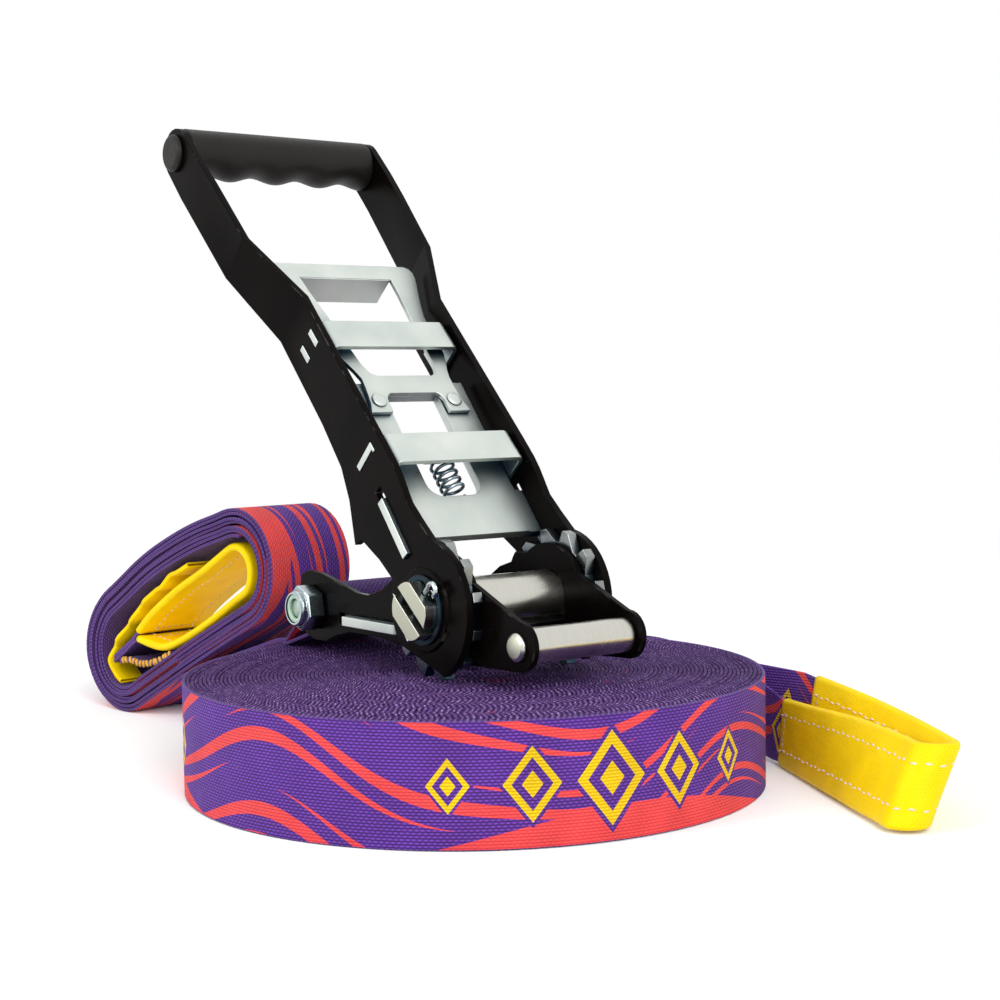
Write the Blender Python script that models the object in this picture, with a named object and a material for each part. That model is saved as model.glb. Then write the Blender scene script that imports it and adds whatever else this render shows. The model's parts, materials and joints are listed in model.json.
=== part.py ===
"""Slackline kit: a line rolled flat, a long-handled ratchet standing on it and its rolled anchor strap.

Metres, +Z up. The origin is the middle of the roll's underside. X runs along the ratchet's mandrel,
and +Y points from the mandrel towards the anchor bolt and its strap.
"""
import math

import bmesh
import bpy
from mathutils import Matrix, Vector

# Driving dimensions, in metres and degrees
GAP = 0.0003
OVERRUN = 0.002

WEB_WIDTH = 0.050
WEB_THICKNESS = 0.0018
SLEEVE_THICKNESS = 0.0042
SLEEVE_HEM = 0.0014
STRAP_WIDTH = 0.0496
SLEEVE_SHARE = 0.9

ROLL_RADIUS = 0.128
ROUTE_RADIUS = 0.128
ROLL_EDGE = 0.0008

FRAME_INNER_WIDTH = 0.054
FRAME_PLATE = 0.003
FRAME_HUB_RADIUS = 0.0245
FRAME_HOOK_RADIUS = 0.0303
FRAME_EAR_RADIUS = 0.0105
FRAME_REACH = 0.1185
FRAME_FLARE = 0.0322

WHEEL_TIP_RADIUS = 0.0306
WHEEL_TOOTH_DEPTH = 0.0055
WHEEL_TEETH = 12
WHEEL_THICKNESS = 0.0048
SIDE_PLAY = 0.0004

MANDREL_RADIUS = 0.0125
MANDREL_SLOT = 0.0044
MANDREL_STUB_THICKNESS = 0.0078
MANDREL_STUB = 0.0085
MANDREL_Y = -0.0184
MANDREL_TURN = 40.0
WASHER_RADIUS = 0.0150
WASHER_THICKNESS = 0.0010
SPLIT_PIN_RADIUS = 0.0013
SPLIT_PIN_OVERHANG = 0.0022
SPLIT_PIN_EYE = 0.0027

ANCHOR_MARGIN = 0.0137
ANCHOR_DROP = 0.0085
BOLT_RADIUS = 0.006
BOLT_HEAD_HEIGHT = 0.0065
NUT_FLATS = 0.019
NUT_HEIGHT = 0.0090
NUT_COLLAR = 0.0028
NUT_INSERT = 0.0012
SPACER_RADIUS = 0.009

ROLLER_Y = -0.0527
ROLLER_DROP = 0.0113
ROLLER_RADIUS = 0.0074
ROLLER_PIN_RADIUS = 0.004
RIVET_HEAD_RADIUS = 0.006
RIVET_HEAD_HEIGHT = 0.0026

BRIDGE_THICKNESS = 0.0025
BRIDGE_NEAR = 0.0190
BRIDGE_FAR = 0.0425
BRIDGE_DROP = 0.0100
BRIDGE_FALL = 0.0030

LOCK_PAWL_DROP = 0.0120
LOCK_PAWL_ROOM = 0.0011
LOCK_PAWL_TRAVEL = 0.007
SPRING_BAR_MARGIN = 0.0345
SPRING_BAR_HEIGHT = 0.0130

PAWL_THICKNESS = 0.0044
PAWL_SLIT_WIDTH = 0.016

HANDLE_LEAN = 45.5
HANDLE_LENGTH = 0.281
HANDLE_PLATE = 0.0035
HANDLE_DEPTH = 0.0315
HANDLE_JOGGLE = 0.0142
HANDLE_SPREAD = 0.0028
HANDLE_LOBE_RADIUS = 0.0304
HANDLE_HUB_RADIUS = 0.0257
HANDLE_END_RADIUS = 0.0122
COLLAR_RADIUS = 0.0180
COLLAR_HEIGHT = 0.0012

GRIP_RADIUS = 0.0125
GRIP_SCALLOP = 0.0026
GRIP_FINGERS = 4
GRIP_ROD_RADIUS = 0.004
GRIP_CAP_RADIUS = 0.0092
GRIP_CAP_HEIGHT = 0.003

STRIP_THICKNESS = 0.0024
STRIP_BEND = 0.0040
LOWER_STRIP_START = 0.0618
LOWER_STRIP_WIDTH = 0.0170
UPPER_STRIP_START = 0.1340
UPPER_STRIP_WIDTH = 0.0170
TAB_THICKNESS = 0.0034

SLIDER_CLEARANCE = 0.0051
DRIVE_PAWL_TRAVEL = 0.006
PAWL_LEVEL = 0.0048
PAWL_WING_START = 0.0245
PAWL_WING_END = 0.0545
PAWL_WING_REACH = 0.0018
PAWL_TOP = 0.1190
PAWL_OPENING = 0.029
PAWL_OPENING_START = 0.0535
PULL_THICKNESS = 0.0023
PULL_START = 0.1000
PULL_TOP = 0.2000
PULL_NOTCH = 0.0111
PULL_CROWN = 0.0100
PULL_LIP = 0.0140
PULL_BEND = 6.5
PULL_RIVET_RADIUS = 0.0039

SPRING_WIRE = 0.0008
SPRING_RADIUS = 0.0050
SPRING_TURNS = 6

STRAP_ROLL_TURN = 7.0
STRAP_ROLL_OFFSET = -0.0044
STRAP_ROLL_CLEARANCE = 0.001
STRAP_ROLL_WALL = 0.0145

# Sizes that follow from the driving ones
FRAME_IN = FRAME_INNER_WIDTH / 2
FRAME_OUT = FRAME_IN + FRAME_PLATE
WHEEL_IN = FRAME_OUT + SIDE_PLAY
WHEEL_OUT = WHEEL_IN + WHEEL_THICKNESS
HANDLE_IN = WHEEL_OUT + SIDE_PLAY
HANDLE_OUT = HANDLE_IN + HANDLE_PLATE
COLLAR_OUT = HANDLE_OUT + COLLAR_HEIGHT
WASHER_IN = COLLAR_OUT + GAP
WASHER_OUT = WASHER_IN + WASHER_THICKNESS
SPLIT_PIN_X = WASHER_OUT + GAP + SPLIT_PIN_RADIUS
MANDREL_END = HANDLE_OUT + MANDREL_STUB
MANDREL_BORE = MANDREL_RADIUS + GAP
MANDREL_Z = WEB_WIDTH + GAP + WHEEL_TIP_RADIUS
GRIP_IN = HANDLE_IN + HANDLE_JOGGLE + HANDLE_SPREAD
GRIP_OUT = HANDLE_OUT + HANDLE_JOGGLE + HANDLE_SPREAD
PAWL_RADIUS = WHEEL_TIP_RADIUS + GAP
STRIP_FRONT = HANDLE_DEPTH * 0.81
STRIP_REAR = STRIP_FRONT - STRIP_THICKNESS
STRIP_END = UPPER_STRIP_START + UPPER_STRIP_WIDTH
SLIDER_TILT = math.degrees(math.atan((STRIP_REAR - SLIDER_CLEARANCE - PAWL_LEVEL) / STRIP_END))
ANCHOR_Y = FRAME_REACH - ANCHOR_MARGIN
SPRING_BAR_Y = FRAME_REACH - SPRING_BAR_MARGIN
LOCK_PAWL_LENGTH = SPRING_BAR_Y - PAWL_RADIUS - LOCK_PAWL_TRAVEL - LOCK_PAWL_ROOM
STRAP_ROLL_START = ROLL_RADIUS + STRAP_ROLL_CLEARANCE
STRIP_IN = HANDLE_IN - GAP


# Materials and scene helpers
def material(name, colour, roughness, metallic=0.0):
    made = bpy.data.materials.new(name)
    made.use_nodes = True
    shader = made.node_tree.nodes["Principled BSDF"]
    shader.inputs["Base Color"].default_value = (*colour, 1.0)
    shader.inputs["Roughness"].default_value = roughness
    shader.inputs["Metallic"].default_value = metallic
    return made


def empty(name, location, turn=0.0, parent=None):
    made = bpy.data.objects.new(name, None)
    made.location = location
    made.rotation_euler.x = math.radians(turn)
    made.parent = parent
    bpy.context.collection.objects.link(made)
    return made


def finish(name, mesh_data, finish_material, parent=None, location=(0, 0, 0), rotation=(0, 0, 0)):
    bmesh.ops.remove_doubles(mesh_data, verts=mesh_data.verts, dist=GAP * 0.01)
    bmesh.ops.recalc_face_normals(mesh_data, faces=mesh_data.faces)
    mesh = bpy.data.meshes.new(name)
    mesh_data.to_mesh(mesh)
    mesh_data.free()
    mesh.shade_smooth()
    mesh.set_sharp_from_angle(angle=math.radians(32.0))
    mesh.materials.append(finish_material)
    made = bpy.data.objects.new(name, mesh)
    made.parent = parent
    made.location = location
    made.rotation_euler = rotation
    bpy.context.collection.objects.link(made)
    return made


def boolean(target, cutter, operation):
    cutter.hide_render = True
    cutter.display_type = "WIRE"
    cutter.parent = target.parent
    change = target.modifiers.new(cutter.name, "BOOLEAN")
    change.operation = operation
    change.solver = "EXACT"
    change.object = cutter


def bevel(target, width):
    change = target.modifiers.new("edge_round", "BEVEL")
    change.width = width
    change.segments = 1
    change.limit_method = "ANGLE"
    change.angle_limit = math.radians(50.0)


# Outline helpers: an outline is a list of (a, b) points, and angles are in degrees
def arc(centre, radius, start, end, steps):
    angles = [math.radians(start + (end - start) * i / steps) for i in range(steps + 1)]
    return [(centre[0] + radius * math.cos(a), centre[1] + radius * math.sin(a)) for a in angles]


def circle(centre, radius, steps):
    return arc(centre, radius, 0, 360, steps)[:-1]


def rectangle(low_a, high_a, low_b, high_b):
    return [(low_a, low_b), (high_a, low_b), (high_a, high_b), (low_a, high_b)]


def rounded_hull(first, first_radius, second, second_radius, steps):
    """The outline of a band stretched round two circles, as one strap rolled round a gap takes."""
    across, up = second[0] - first[0], second[1] - first[1]
    heading = math.degrees(math.atan2(up, across))
    slant = math.degrees(math.asin((first_radius - second_radius) / math.hypot(across, up)))
    side = 90 - slant
    return (arc(first, first_radius, heading + side, heading + 360 - side, steps)
            + arc(second, second_radius, heading - side, heading + side, steps))


def turned(points, angle):
    cosine, sine = math.cos(math.radians(angle)), math.sin(math.radians(angle))
    return [(a * cosine - b * sine, a * sine + b * cosine) for a, b in points]


def gear_outline(tip, depth, teeth):
    """Saw teeth: a steep face the pawl pushes on, a short crest and a long sloping back."""
    root = tip - depth
    step = 360.0 / teeth
    outline = []
    for i in range(teeth):
        start = i * step
        for radius, share in ((root, 0.0), (tip, 0.08), (tip, 0.34), (root, 0.78)):
            angle = math.radians(start + share * step)
            outline.append((radius * math.cos(angle), radius * math.sin(angle)))
    return outline


def flat_fill(loops, place):
    """A flat face with holes, made from an outer loop and any inner ones."""
    mesh_data = bmesh.new()
    edges = []
    for loop in loops:
        verts = [mesh_data.verts.new(place(a, b)) for a, b in loop]
        edges += [mesh_data.edges.new((verts[i - 1], verts[i])) for i in range(len(verts))]
    bmesh.ops.triangle_fill(mesh_data, use_beauty=True, use_dissolve=False, edges=edges)
    return mesh_data


def extrude(mesh_data, shift):
    pushed = bmesh.ops.extrude_face_region(mesh_data, geom=mesh_data.faces[:])
    verts = [item for item in pushed["geom"] if isinstance(item, bmesh.types.BMVert)]
    bmesh.ops.translate(mesh_data, vec=shift, verts=verts)


def plate(name, loops, low_x, high_x, finish_material, parent=None, location=(0, 0, 0), rotation=(0, 0, 0)):
    """A plate cut to loops in the YZ plane, from low_x to high_x."""
    mesh_data = flat_fill(loops, lambda a, b: (low_x, a, b))
    extrude(mesh_data, Vector((high_x - low_x, 0, 0)))
    return finish(name, mesh_data, finish_material, parent, location, rotation)


def sheet_plate(name, loops, low, high, finish_material, parent=None):
    """A plate cut to loops in the XY plane of its parent, from low to high along Z."""
    mesh_data = flat_fill(loops, lambda a, b: (a, b, low))
    extrude(mesh_data, Vector((0, 0, high - low)))
    return finish(name, mesh_data, finish_material, parent)


def turning(name, profile, steps, finish_material, parent=None, location=(0, 0, 0)):
    """A piece turned about X. Its profile is a closed list of (x, radius) points."""
    mesh_data = bmesh.new()
    closed = all(radius > 0 for _, radius in profile)
    verts = [mesh_data.verts.new((x, 0, radius)) for x, radius in profile]
    pairs = list(zip(verts, verts[1:] + verts[:1]))
    edges = [mesh_data.edges.new(pair) for pair in (pairs if closed else pairs[:-1])]
    bmesh.ops.spin(mesh_data, geom=verts + edges, cent=(0, 0, 0), axis=(1, 0, 0), angle=math.tau,
                   steps=steps, use_merge=True)
    return finish(name, mesh_data, finish_material, parent, location)


def both_sides(profile):
    """The same (x, radius) profile on the other side, still a closed outline."""
    return [(-x, radius) for x, radius in profile]


def loft(name, rings, finish_material, parent=None, location=(0, 0, 0), rotation=(0, 0, 0), hollow=False):
    """A skin over rings of equal length. A hollow loft joins its last ring to its first."""
    mesh_data = bmesh.new()
    made = [[mesh_data.verts.new(point) for point in ring] for ring in rings]
    pairs = list(zip(made, made[1:]))
    if hollow:
        pairs.append((made[-1], made[0]))
    else:
        mesh_data.faces.new(made[0])
        mesh_data.faces.new(made[-1])
    for one, other in pairs:
        for i in range(len(one)):
            mesh_data.faces.new((one[i - 1], one[i], other[i], other[i - 1]))
    return finish(name, mesh_data, finish_material, parent, location, rotation)


def band_rings(stations, thickness, trim=0.0):
    """The cross-sections of webbing along a route. A station is (middle point, across direction, width)."""
    points = [Vector(point) for point, _, _ in stations]
    rings = []
    for i, (_, direction, width) in enumerate(stations):
        ahead = (points[min(i + 1, len(points) - 1)] - points[max(i - 1, 0)]).normalized()
        across = direction.normalized()
        out = ahead.cross(across).normalized()
        half = width / 2 - trim
        rings.append([points[i] + across * half * a + out * thickness / 2 * b
                      for a, b in ((-1, -1), (1, -1), (1, 1), (-1, 1))])
    return rings


def ribbon(name, stations, thickness, finish_material, parent=None):
    return loft(name, band_rings(stations, thickness), finish_material, parent)


def tube(name, stations, thickness, finish_material, parent=None):
    """A flat sleeve along a route, open at both ends, with room inside for the webbing."""
    outer = band_rings(stations, thickness)
    inner = band_rings(stations, WEB_THICKNESS + GAP * 4, SLEEVE_HEM - GAP * 1.5)
    return loft(name, outer + inner[::-1], finish_material, parent, hollow=True)


def smoothed(route):
    """The route's rows of numbers with more rows between them, on a smooth curve through them all."""
    last = len(route) - 1
    rows = [route[0]]
    for i in range(last):
        before, here, ahead, beyond = (route[min(max(k, 0), last)] for k in (i - 1, i, i + 1, i + 2))
        for step in range(1, ROUTE_STEPS + 1):
            t = step / ROUTE_STEPS
            weights = (-t + 2 * t ** 2 - t ** 3, 2 - 5 * t ** 2 + 3 * t ** 3,
                       t + 4 * t ** 2 - 3 * t ** 3, -t ** 2 + t ** 3)
            rows.append(tuple(sum(w * row[k] for w, row in zip(weights, (before, here, ahead, beyond))) / 2
                              for k in range(len(here))))
    return rows


def upright(route):
    """Stations for webbing that stands on edge, its top leaning over. A row is (x, y, z, lean, width)."""
    stations = []
    for x, y, z, lean, width in route:
        angle = math.radians(lean)
        stations.append(((x, y, z), Vector((0, 0, math.cos(angle))) + LEAN_DIRECTION * math.sin(angle), width))
    return stations


def helix(name, start, end, radius, turns, finish_material, parent=None):
    """A compression spring of round wire along the local Y axis."""
    curve = bpy.data.curves.new(name, "CURVE")
    curve.dimensions = "3D"
    curve.bevel_depth = SPRING_WIRE
    curve.bevel_resolution = 1
    curve.use_fill_caps = True
    steps = turns * 11
    line = curve.splines.new("POLY")
    line.points.add(steps)
    for i in range(steps + 1):
        angle = math.tau * turns * i / steps
        along = start[1] + (end[1] - start[1]) * i / steps
        line.points[i].co = (start[0] + radius * math.cos(angle), along, start[2] + radius * math.sin(angle), 1)
    curve.materials.append(finish_material)
    made = bpy.data.objects.new(name, curve)
    made.parent = parent
    bpy.context.collection.objects.link(made)
    return made


# The line: its flat roll, the tail that leaves it and the sleeved eye at the tail's end.
# The tail's route is chosen by hand. Its rows are (x, y, z, lean of the top away from the roll, width).
TAIL_ROUTE = [(0.1297, 0.0090, 0.0252, 1, 0.0498), (0.1316, -0.0150, 0.0252, 3, 0.0494),
              (0.1331, -0.0380, 0.0250, 5, 0.0480), (0.1318, -0.0580, 0.0250, 8, 0.0430),
              (0.1294, -0.0720, 0.0250, 10, 0.0380)]
EYE_BACK_ROUTE = [(0.1265, -0.0840, 0.0247, 11, 0.0370), (0.1205, -0.1020, 0.0238, 12, 0.0370),
                  (0.1110, -0.1290, 0.0222, 15, 0.0370), (0.1008, -0.1560, 0.0202, 18, 0.0366),
                  (0.0912, -0.1776, 0.0189, 21, 0.0360)]
EYE_BEND_CENTRE = (0.0774, -0.1864)
EYE_BEND_RADIUS = 0.0082
EYE_BEND_ROW = (0.0184, 22, 0.0358)
EYE_FRONT_ROUTE = [(0.0743, -0.1756, 0.0183, 21, 0.0360), (0.0828, -0.1570, 0.0182, 19, 0.0360),
                   (0.0905, -0.1405, 0.0180, 17, 0.0355), (0.0981, -0.1239, 0.0176, 15, 0.0345),
                   (0.1065, -0.1050, 0.0170, 11, 0.0330), (0.1155, -0.0850, 0.0164, 7, 0.0318),
                   (0.1218, -0.0710, 0.0160, 5, 0.0310)]
LAP_ROUTE = [(0.1256, -0.0615, 0.0168, 5, 0.0305), (0.1284, -0.0510, 0.0186, 5, 0.0320),
             (0.1299, -0.0380, 0.0214, 5, 0.0355), (0.1298, -0.0240, 0.0234, 4, 0.0390)]
ROUTE_STEPS = 3
# The level direction in which the standing webbing leans
LEAN_DIRECTION = Vector((0.91, -0.42, 0))


def tail_start():
    """The last of the outer turn, sunk into the roll, before the tail leaves it along a tangent."""
    radius = ROLL_RADIUS + WEB_THICKNESS / 2 - GAP
    return [(x, y, WEB_WIDTH / 2, 0, WEB_WIDTH - GAP) for x, y in arc((0, 0), radius, 40, 10, 3)]


def beside_rim(route):
    """The rows moved with the roll's rim, where the roll isn't the size that they were chosen for."""
    return [(row[0] + ROLL_RADIUS - ROUTE_RADIUS, *row[1:]) for row in route]


def narrowed(route):
    return [(*row[:4], row[4] - 2 * SLEEVE_HEM) for row in route]


def line(webbing, sleeve):
    """One length of webbing: the roll, the tail, the eye through its sleeve and the lap sewn to the tail."""
    profile = [(0, 0), (0, ROLL_RADIUS - ROLL_EDGE), (ROLL_EDGE, ROLL_RADIUS),
               (WEB_WIDTH - ROLL_EDGE, ROLL_RADIUS), (WEB_WIDTH, ROLL_RADIUS - ROLL_EDGE), (WEB_WIDTH, 0)]
    roll = turning("line_webbing", profile, 64, webbing)
    roll.data.transform(Matrix.Rotation(math.radians(-90.0), 4, "Y"))
    bend = [(x, y, *EYE_BEND_ROW) for x, y in arc(EYE_BEND_CENTRE, EYE_BEND_RADIUS, -18, -194, 6)]
    eye = smoothed(beside_rim(EYE_BACK_ROUTE + bend + EYE_FRONT_ROUTE))
    route = (smoothed(tail_start() + beside_rim(TAIL_ROUTE)) + narrowed(eye)
             + smoothed(beside_rim(LAP_ROUTE)))
    boolean(roll, ribbon("tail_form", upright(route), WEB_THICKNESS, webbing), "UNION")
    tube("line_loop_sleeve", upright(eye), SLEEVE_THICKNESS, sleeve)


# The ratchet's frame, in its own plane with the mandrel's axis at its origin
def frame_outline():
    hub, ear = FRAME_HUB_RADIUS, FRAME_EAR_RADIUS
    roller = (ROLLER_Y, -ROLLER_DROP)
    hook = [(FRAME_HOOK_RADIUS * math.cos(math.radians(a)), FRAME_HOOK_RADIUS * math.sin(math.radians(a)))
            for a in (39, 34, 28)]
    top = [(FRAME_REACH * along, FRAME_FLARE * up) for along, up in FLARE_TOP_SHARES]
    bottom = [(FRAME_REACH * along, FRAME_FLARE * up) for along, up in FLARE_BOTTOM_SHARES]
    return (arc((0, 0), hub, 150, 52, 12) + hook + top + bottom
            + arc((0, 0), hub, -60, -110, 5) + arc(roller, ear, -105, -270, 12))


# The flare at the anchor end, along the frame and up from the mandrel's axis
FLARE_TOP_SHARES = [(0.30, 0.36), (0.40, 0.13), (0.50, 0.02), (0.58, 0.03), (0.70, 0.13),
                    (0.84, 0.24), (0.93, 0.265), (0.985, 0.20)]
FLARE_BOTTOM_SHARES = [(1.0, -0.05), (0.995, -0.50), (0.965, -0.68), (0.90, -0.755), (0.81, -0.75),
                       (0.72, -0.63), (0.62, -0.555), (0.42, -0.55), (0.28, -0.60)]


def frame(root, painted, zinc):
    slot_low = PAWL_RADIUS
    slot_high = PAWL_RADIUS + LOCK_PAWL_LENGTH + LOCK_PAWL_TRAVEL + GAP
    slot_half = PAWL_THICKNESS / 2 + GAP
    loops = [frame_outline(), circle((0, 0), MANDREL_BORE, 32),
             circle((ROLLER_Y, -ROLLER_DROP), ROLLER_PIN_RADIUS + GAP, 20),
             circle((ANCHOR_Y, -ANCHOR_DROP), BOLT_RADIUS + GAP, 20),
             rectangle(slot_low, slot_high, -LOCK_PAWL_DROP - slot_half, -LOCK_PAWL_DROP + slot_half)]
    for side, name in ((-1, "frame_plate_left"), (1, "frame_plate_right")):
        made = plate(name, loops, side * FRAME_IN, side * FRAME_OUT, painted, root)
        bevel(made, GAP)
    inside = FRAME_IN - GAP
    drop = BRIDGE_DROP
    fall = BRIDGE_DROP + BRIDGE_FALL
    plate("frame_bridge", [[(-BRIDGE_NEAR, -drop), (-BRIDGE_FAR, -fall),
                            (-BRIDGE_FAR, -fall - BRIDGE_THICKNESS), (-BRIDGE_NEAR, -drop - BRIDGE_THICKNESS)]],
          -inside, inside, painted, root)
    half = SPRING_BAR_HEIGHT / 2
    plate("frame_spring_bar", [rectangle(SPRING_BAR_Y, SPRING_BAR_Y + BRIDGE_THICKNESS,
                                         -LOCK_PAWL_DROP - half, -LOCK_PAWL_DROP + half)],
          -inside, inside, zinc, root)


def hexagon(flats):
    radius = flats / math.sqrt(3)
    return [(radius * math.cos(math.radians(a)), radius * math.sin(math.radians(a))) for a in range(20, 380, 60)]


def anchor(root, zinc, insert):
    place = (0, ANCHOR_Y, -ANCHOR_DROP)
    face = FRAME_OUT + GAP
    bolt_end = face + NUT_HEIGHT - NUT_INSERT
    root_x = face + BOLT_HEAD_HEIGHT / 2
    shank = [(root_x, 0), (root_x, BOLT_RADIUS), (-bolt_end + ROLL_EDGE, BOLT_RADIUS),
             (-bolt_end, BOLT_RADIUS - ROLL_EDGE), (-bolt_end, 0)]
    bolt = turning("anchor_bolt", shank, 24, zinc, root, place)
    head = plate("bolt_head_form", [hexagon(NUT_FLATS)], face, face + BOLT_HEAD_HEIGHT, zinc, root, place)
    boolean(bolt, head, "UNION")
    nut = plate("anchor_nut", [hexagon(NUT_FLATS), circle((0, 0), BOLT_RADIUS + GAP, 24)],
                -face - NUT_HEIGHT, -face, zinc, root, place)
    bevel(nut, GAP * 2)
    lip = NUT_COLLAR + face + NUT_HEIGHT
    outer = NUT_FLATS * 0.44
    collar = turning("nut_collar_form", [(-face - NUT_HEIGHT / 2, BOLT_RADIUS + GAP * 4),
                                         (-face - NUT_HEIGHT / 2, outer), (-lip + GAP * 3, outer),
                                         (-lip, outer - GAP * 4), (-lip, BOLT_RADIUS + GAP * 4)],
                     32, zinc, root, place)
    boolean(nut, collar, "UNION")
    turning("anchor_nut_insert",
            [(-face - NUT_HEIGHT - GAP, BOLT_RADIUS + GAP * 4 - GAP), (-face - NUT_HEIGHT - GAP, BOLT_RADIUS * 0.2),
             (-lip + GAP * 2, BOLT_RADIUS * 0.2), (-lip + GAP * 2, BOLT_RADIUS + GAP * 4 - GAP)],
            24, insert, root, place)
    inside = FRAME_IN - GAP
    turning("anchor_spacer", [(-inside, BOLT_RADIUS + GAP), (-inside, SPACER_RADIUS),
                              (inside, SPACER_RADIUS), (inside, BOLT_RADIUS + GAP)], 28, zinc, root, place)


def roller(root, spin, steel):
    place = (0, ROLLER_Y, -ROLLER_DROP)
    dome = FRAME_OUT + GAP
    head = [(dome, RIVET_HEAD_RADIUS), (dome + RIVET_HEAD_HEIGHT * 0.45, RIVET_HEAD_RADIUS * 0.98),
            (dome + RIVET_HEAD_HEIGHT * 0.85, RIVET_HEAD_RADIUS * 0.7), (dome + RIVET_HEAD_HEIGHT, 0)]
    near = [(dome, ROLLER_PIN_RADIUS)]
    profile = list(reversed(both_sides(near + head))) + near + head
    turning("roller_pin", profile, 24, steel, root, place)
    inside = FRAME_IN - GAP
    edge = ROLL_EDGE
    turning("front_roller", [(-inside, ROLLER_PIN_RADIUS + GAP), (-inside, ROLLER_RADIUS - edge),
                             (-inside + edge, ROLLER_RADIUS), (inside - edge, ROLLER_RADIUS),
                             (inside, ROLLER_RADIUS - edge), (inside, ROLLER_PIN_RADIUS + GAP)],
            32, steel, spin)


def lock_pawl(slide, zinc):
    """A flat plate between the frame plates. Its wings pass through their slots to reach the wheels."""
    wing, inner = WHEEL_OUT, FRAME_IN - GAP
    near = math.sqrt(PAWL_RADIUS ** 2 - (LOCK_PAWL_DROP - PAWL_THICKNESS / 2) ** 2) + GAP
    far = PAWL_RADIUS + LOCK_PAWL_LENGTH - GAP
    slit_end = far - LOCK_PAWL_LENGTH * 0.55
    slit = PAWL_SLIT_WIDTH / 2
    chamfer = WHEEL_THICKNESS / 2
    half = [(slit, far), (inner - chamfer, far), (wing, far - chamfer), (wing, near + chamfer / 2),
            (wing - chamfer / 2, near), (WHEEL_IN, near), (WHEEL_IN, PAWL_RADIUS + GAP),
            (inner, PAWL_RADIUS + chamfer), (inner - chamfer, PAWL_RADIUS + chamfer * 2)]
    outline = half + [(-a, b) for a, b in reversed(half)] + [(-slit, slit_end), (slit, slit_end)]
    thick = PAWL_THICKNESS / 2
    sheet_plate("lock_pawl", [outline], -thick, thick, zinc, slide)
    return slit_end


def mandrel(spin, steel, zinc):
    """Two half-moon shafts with the webbing's slot between them, two toothed wheels and what keeps them in."""
    slot = MANDREL_SLOT / 2
    side = math.degrees(math.asin(slot / MANDREL_RADIUS))
    section = arc((0, 0), MANDREL_RADIUS, side, 180 - side, 18)
    crown = slot + MANDREL_STUB_THICKNESS
    stub = [(a, min(b, crown)) for a, b in section]
    stub_x = HANDLE_OUT + GAP
    for sign, name in ((1, "mandrel_half_upper"), (-1, "mandrel_half_lower")):
        rings = [[(x, a, b * sign) for a, b in form]
                 for x, form in ((-MANDREL_END, stub), (-stub_x, stub), (-stub_x, section),
                                 (stub_x, section), (stub_x, stub), (MANDREL_END, stub))]
        made = loft(name, rings, steel, spin)
        for end in (-1, 1):
            hole = turning(name + "_pin_hole", [(-MANDREL_RADIUS - OVERRUN, 0),
                                                (-MANDREL_RADIUS - OVERRUN, SPLIT_PIN_RADIUS + GAP),
                                                (MANDREL_RADIUS + OVERRUN, SPLIT_PIN_RADIUS + GAP),
                                                (MANDREL_RADIUS + OVERRUN, 0)], 12, steel, spin,
                           (end * SPLIT_PIN_X, 0, 0))
            hole.rotation_euler.y = math.radians(90.0)
            boolean(made, hole, "DIFFERENCE")
    play = math.degrees(math.asin((slot - GAP) / MANDREL_BORE))
    seats = [arc((0, 0), MANDREL_BORE, play, 180 - play, 16), arc((0, 0), MANDREL_BORE, 180 + play, 360 - play, 16)]
    for sign, word in ((-1, "left"), (1, "right")):
        teeth = gear_outline(WHEEL_TIP_RADIUS, WHEEL_TOOTH_DEPTH, WHEEL_TEETH)
        plate("ratchet_wheel_" + word, [teeth] + seats, sign * WHEEL_IN, sign * WHEEL_OUT, zinc, spin)
        ring = [(sign * WASHER_IN, MANDREL_BORE), (sign * WASHER_IN, WASHER_RADIUS),
                (sign * WASHER_OUT, WASHER_RADIUS), (sign * WASHER_OUT, MANDREL_BORE)]
        turning("mandrel_washer_" + word, ring, 32, zinc, spin)
        split_pin("split_pin_" + word, sign * SPLIT_PIN_X, zinc, spin)


def split_pin(name, place_x, finish_material, parent):
    """A pin of doubled wire through both half shafts, with its eye above and its tail bent below."""
    curve = bpy.data.curves.new(name, "CURVE")
    curve.dimensions = "3D"
    curve.bevel_depth = SPLIT_PIN_RADIUS
    curve.bevel_resolution = 2
    curve.use_fill_caps = True
    top = MANDREL_SLOT / 2 + MANDREL_STUB_THICKNESS + SPLIT_PIN_OVERHANG
    eye = SPLIT_PIN_EYE
    route = [(-eye * 1.6, -top - eye * 0.7), (-eye * 0.7, -top - eye * 0.5), (0, -top + eye * 0.2), (0, top)]
    route += [(-eye + eye * math.cos(math.radians(a)), top + eye + eye * math.sin(math.radians(a)))
              for a in range(-30, 211, 30)]
    line_points = curve.splines.new("POLY")
    line_points.points.add(len(route) - 1)
    for point, (a, b) in zip(line_points.points, route):
        point.co = (0, a, b, 1)
    curve.materials.append(finish_material)
    made = bpy.data.objects.new(name, curve)
    made.location.x = place_x
    made.parent = parent
    bpy.context.collection.objects.link(made)


# The handle, drawn along its own Y axis with its front towards +Z, and the mandrel's axis at its origin
HANDLE_REAR_SHARES = [(0.134, -0.368), (0.189, -0.508), (0.197, -0.695), (0.258, -0.349), (0.311, -0.168),
                      (0.399, -0.090), (0.587, -0.050), (0.730, 0.048)]
HANDLE_FRONT_SHARES = [(0.868, 0.879), (0.735, 0.850), (0.587, 0.880), (0.450, 0.868), (0.344, 0.858),
                       (0.260, 0.855), (0.216, 0.845), (0.193, 0.819), (0.145, 0.724), (0.107, 0.743)]
GRIP_LEVEL_SHARE = 0.483
JOGGLE_SHARES = (0.587, 0.730)
SPREAD_SHARES = (0.730, 0.930)
TAB_LEVEL_SHARES = (0.32, 0.65)


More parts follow.
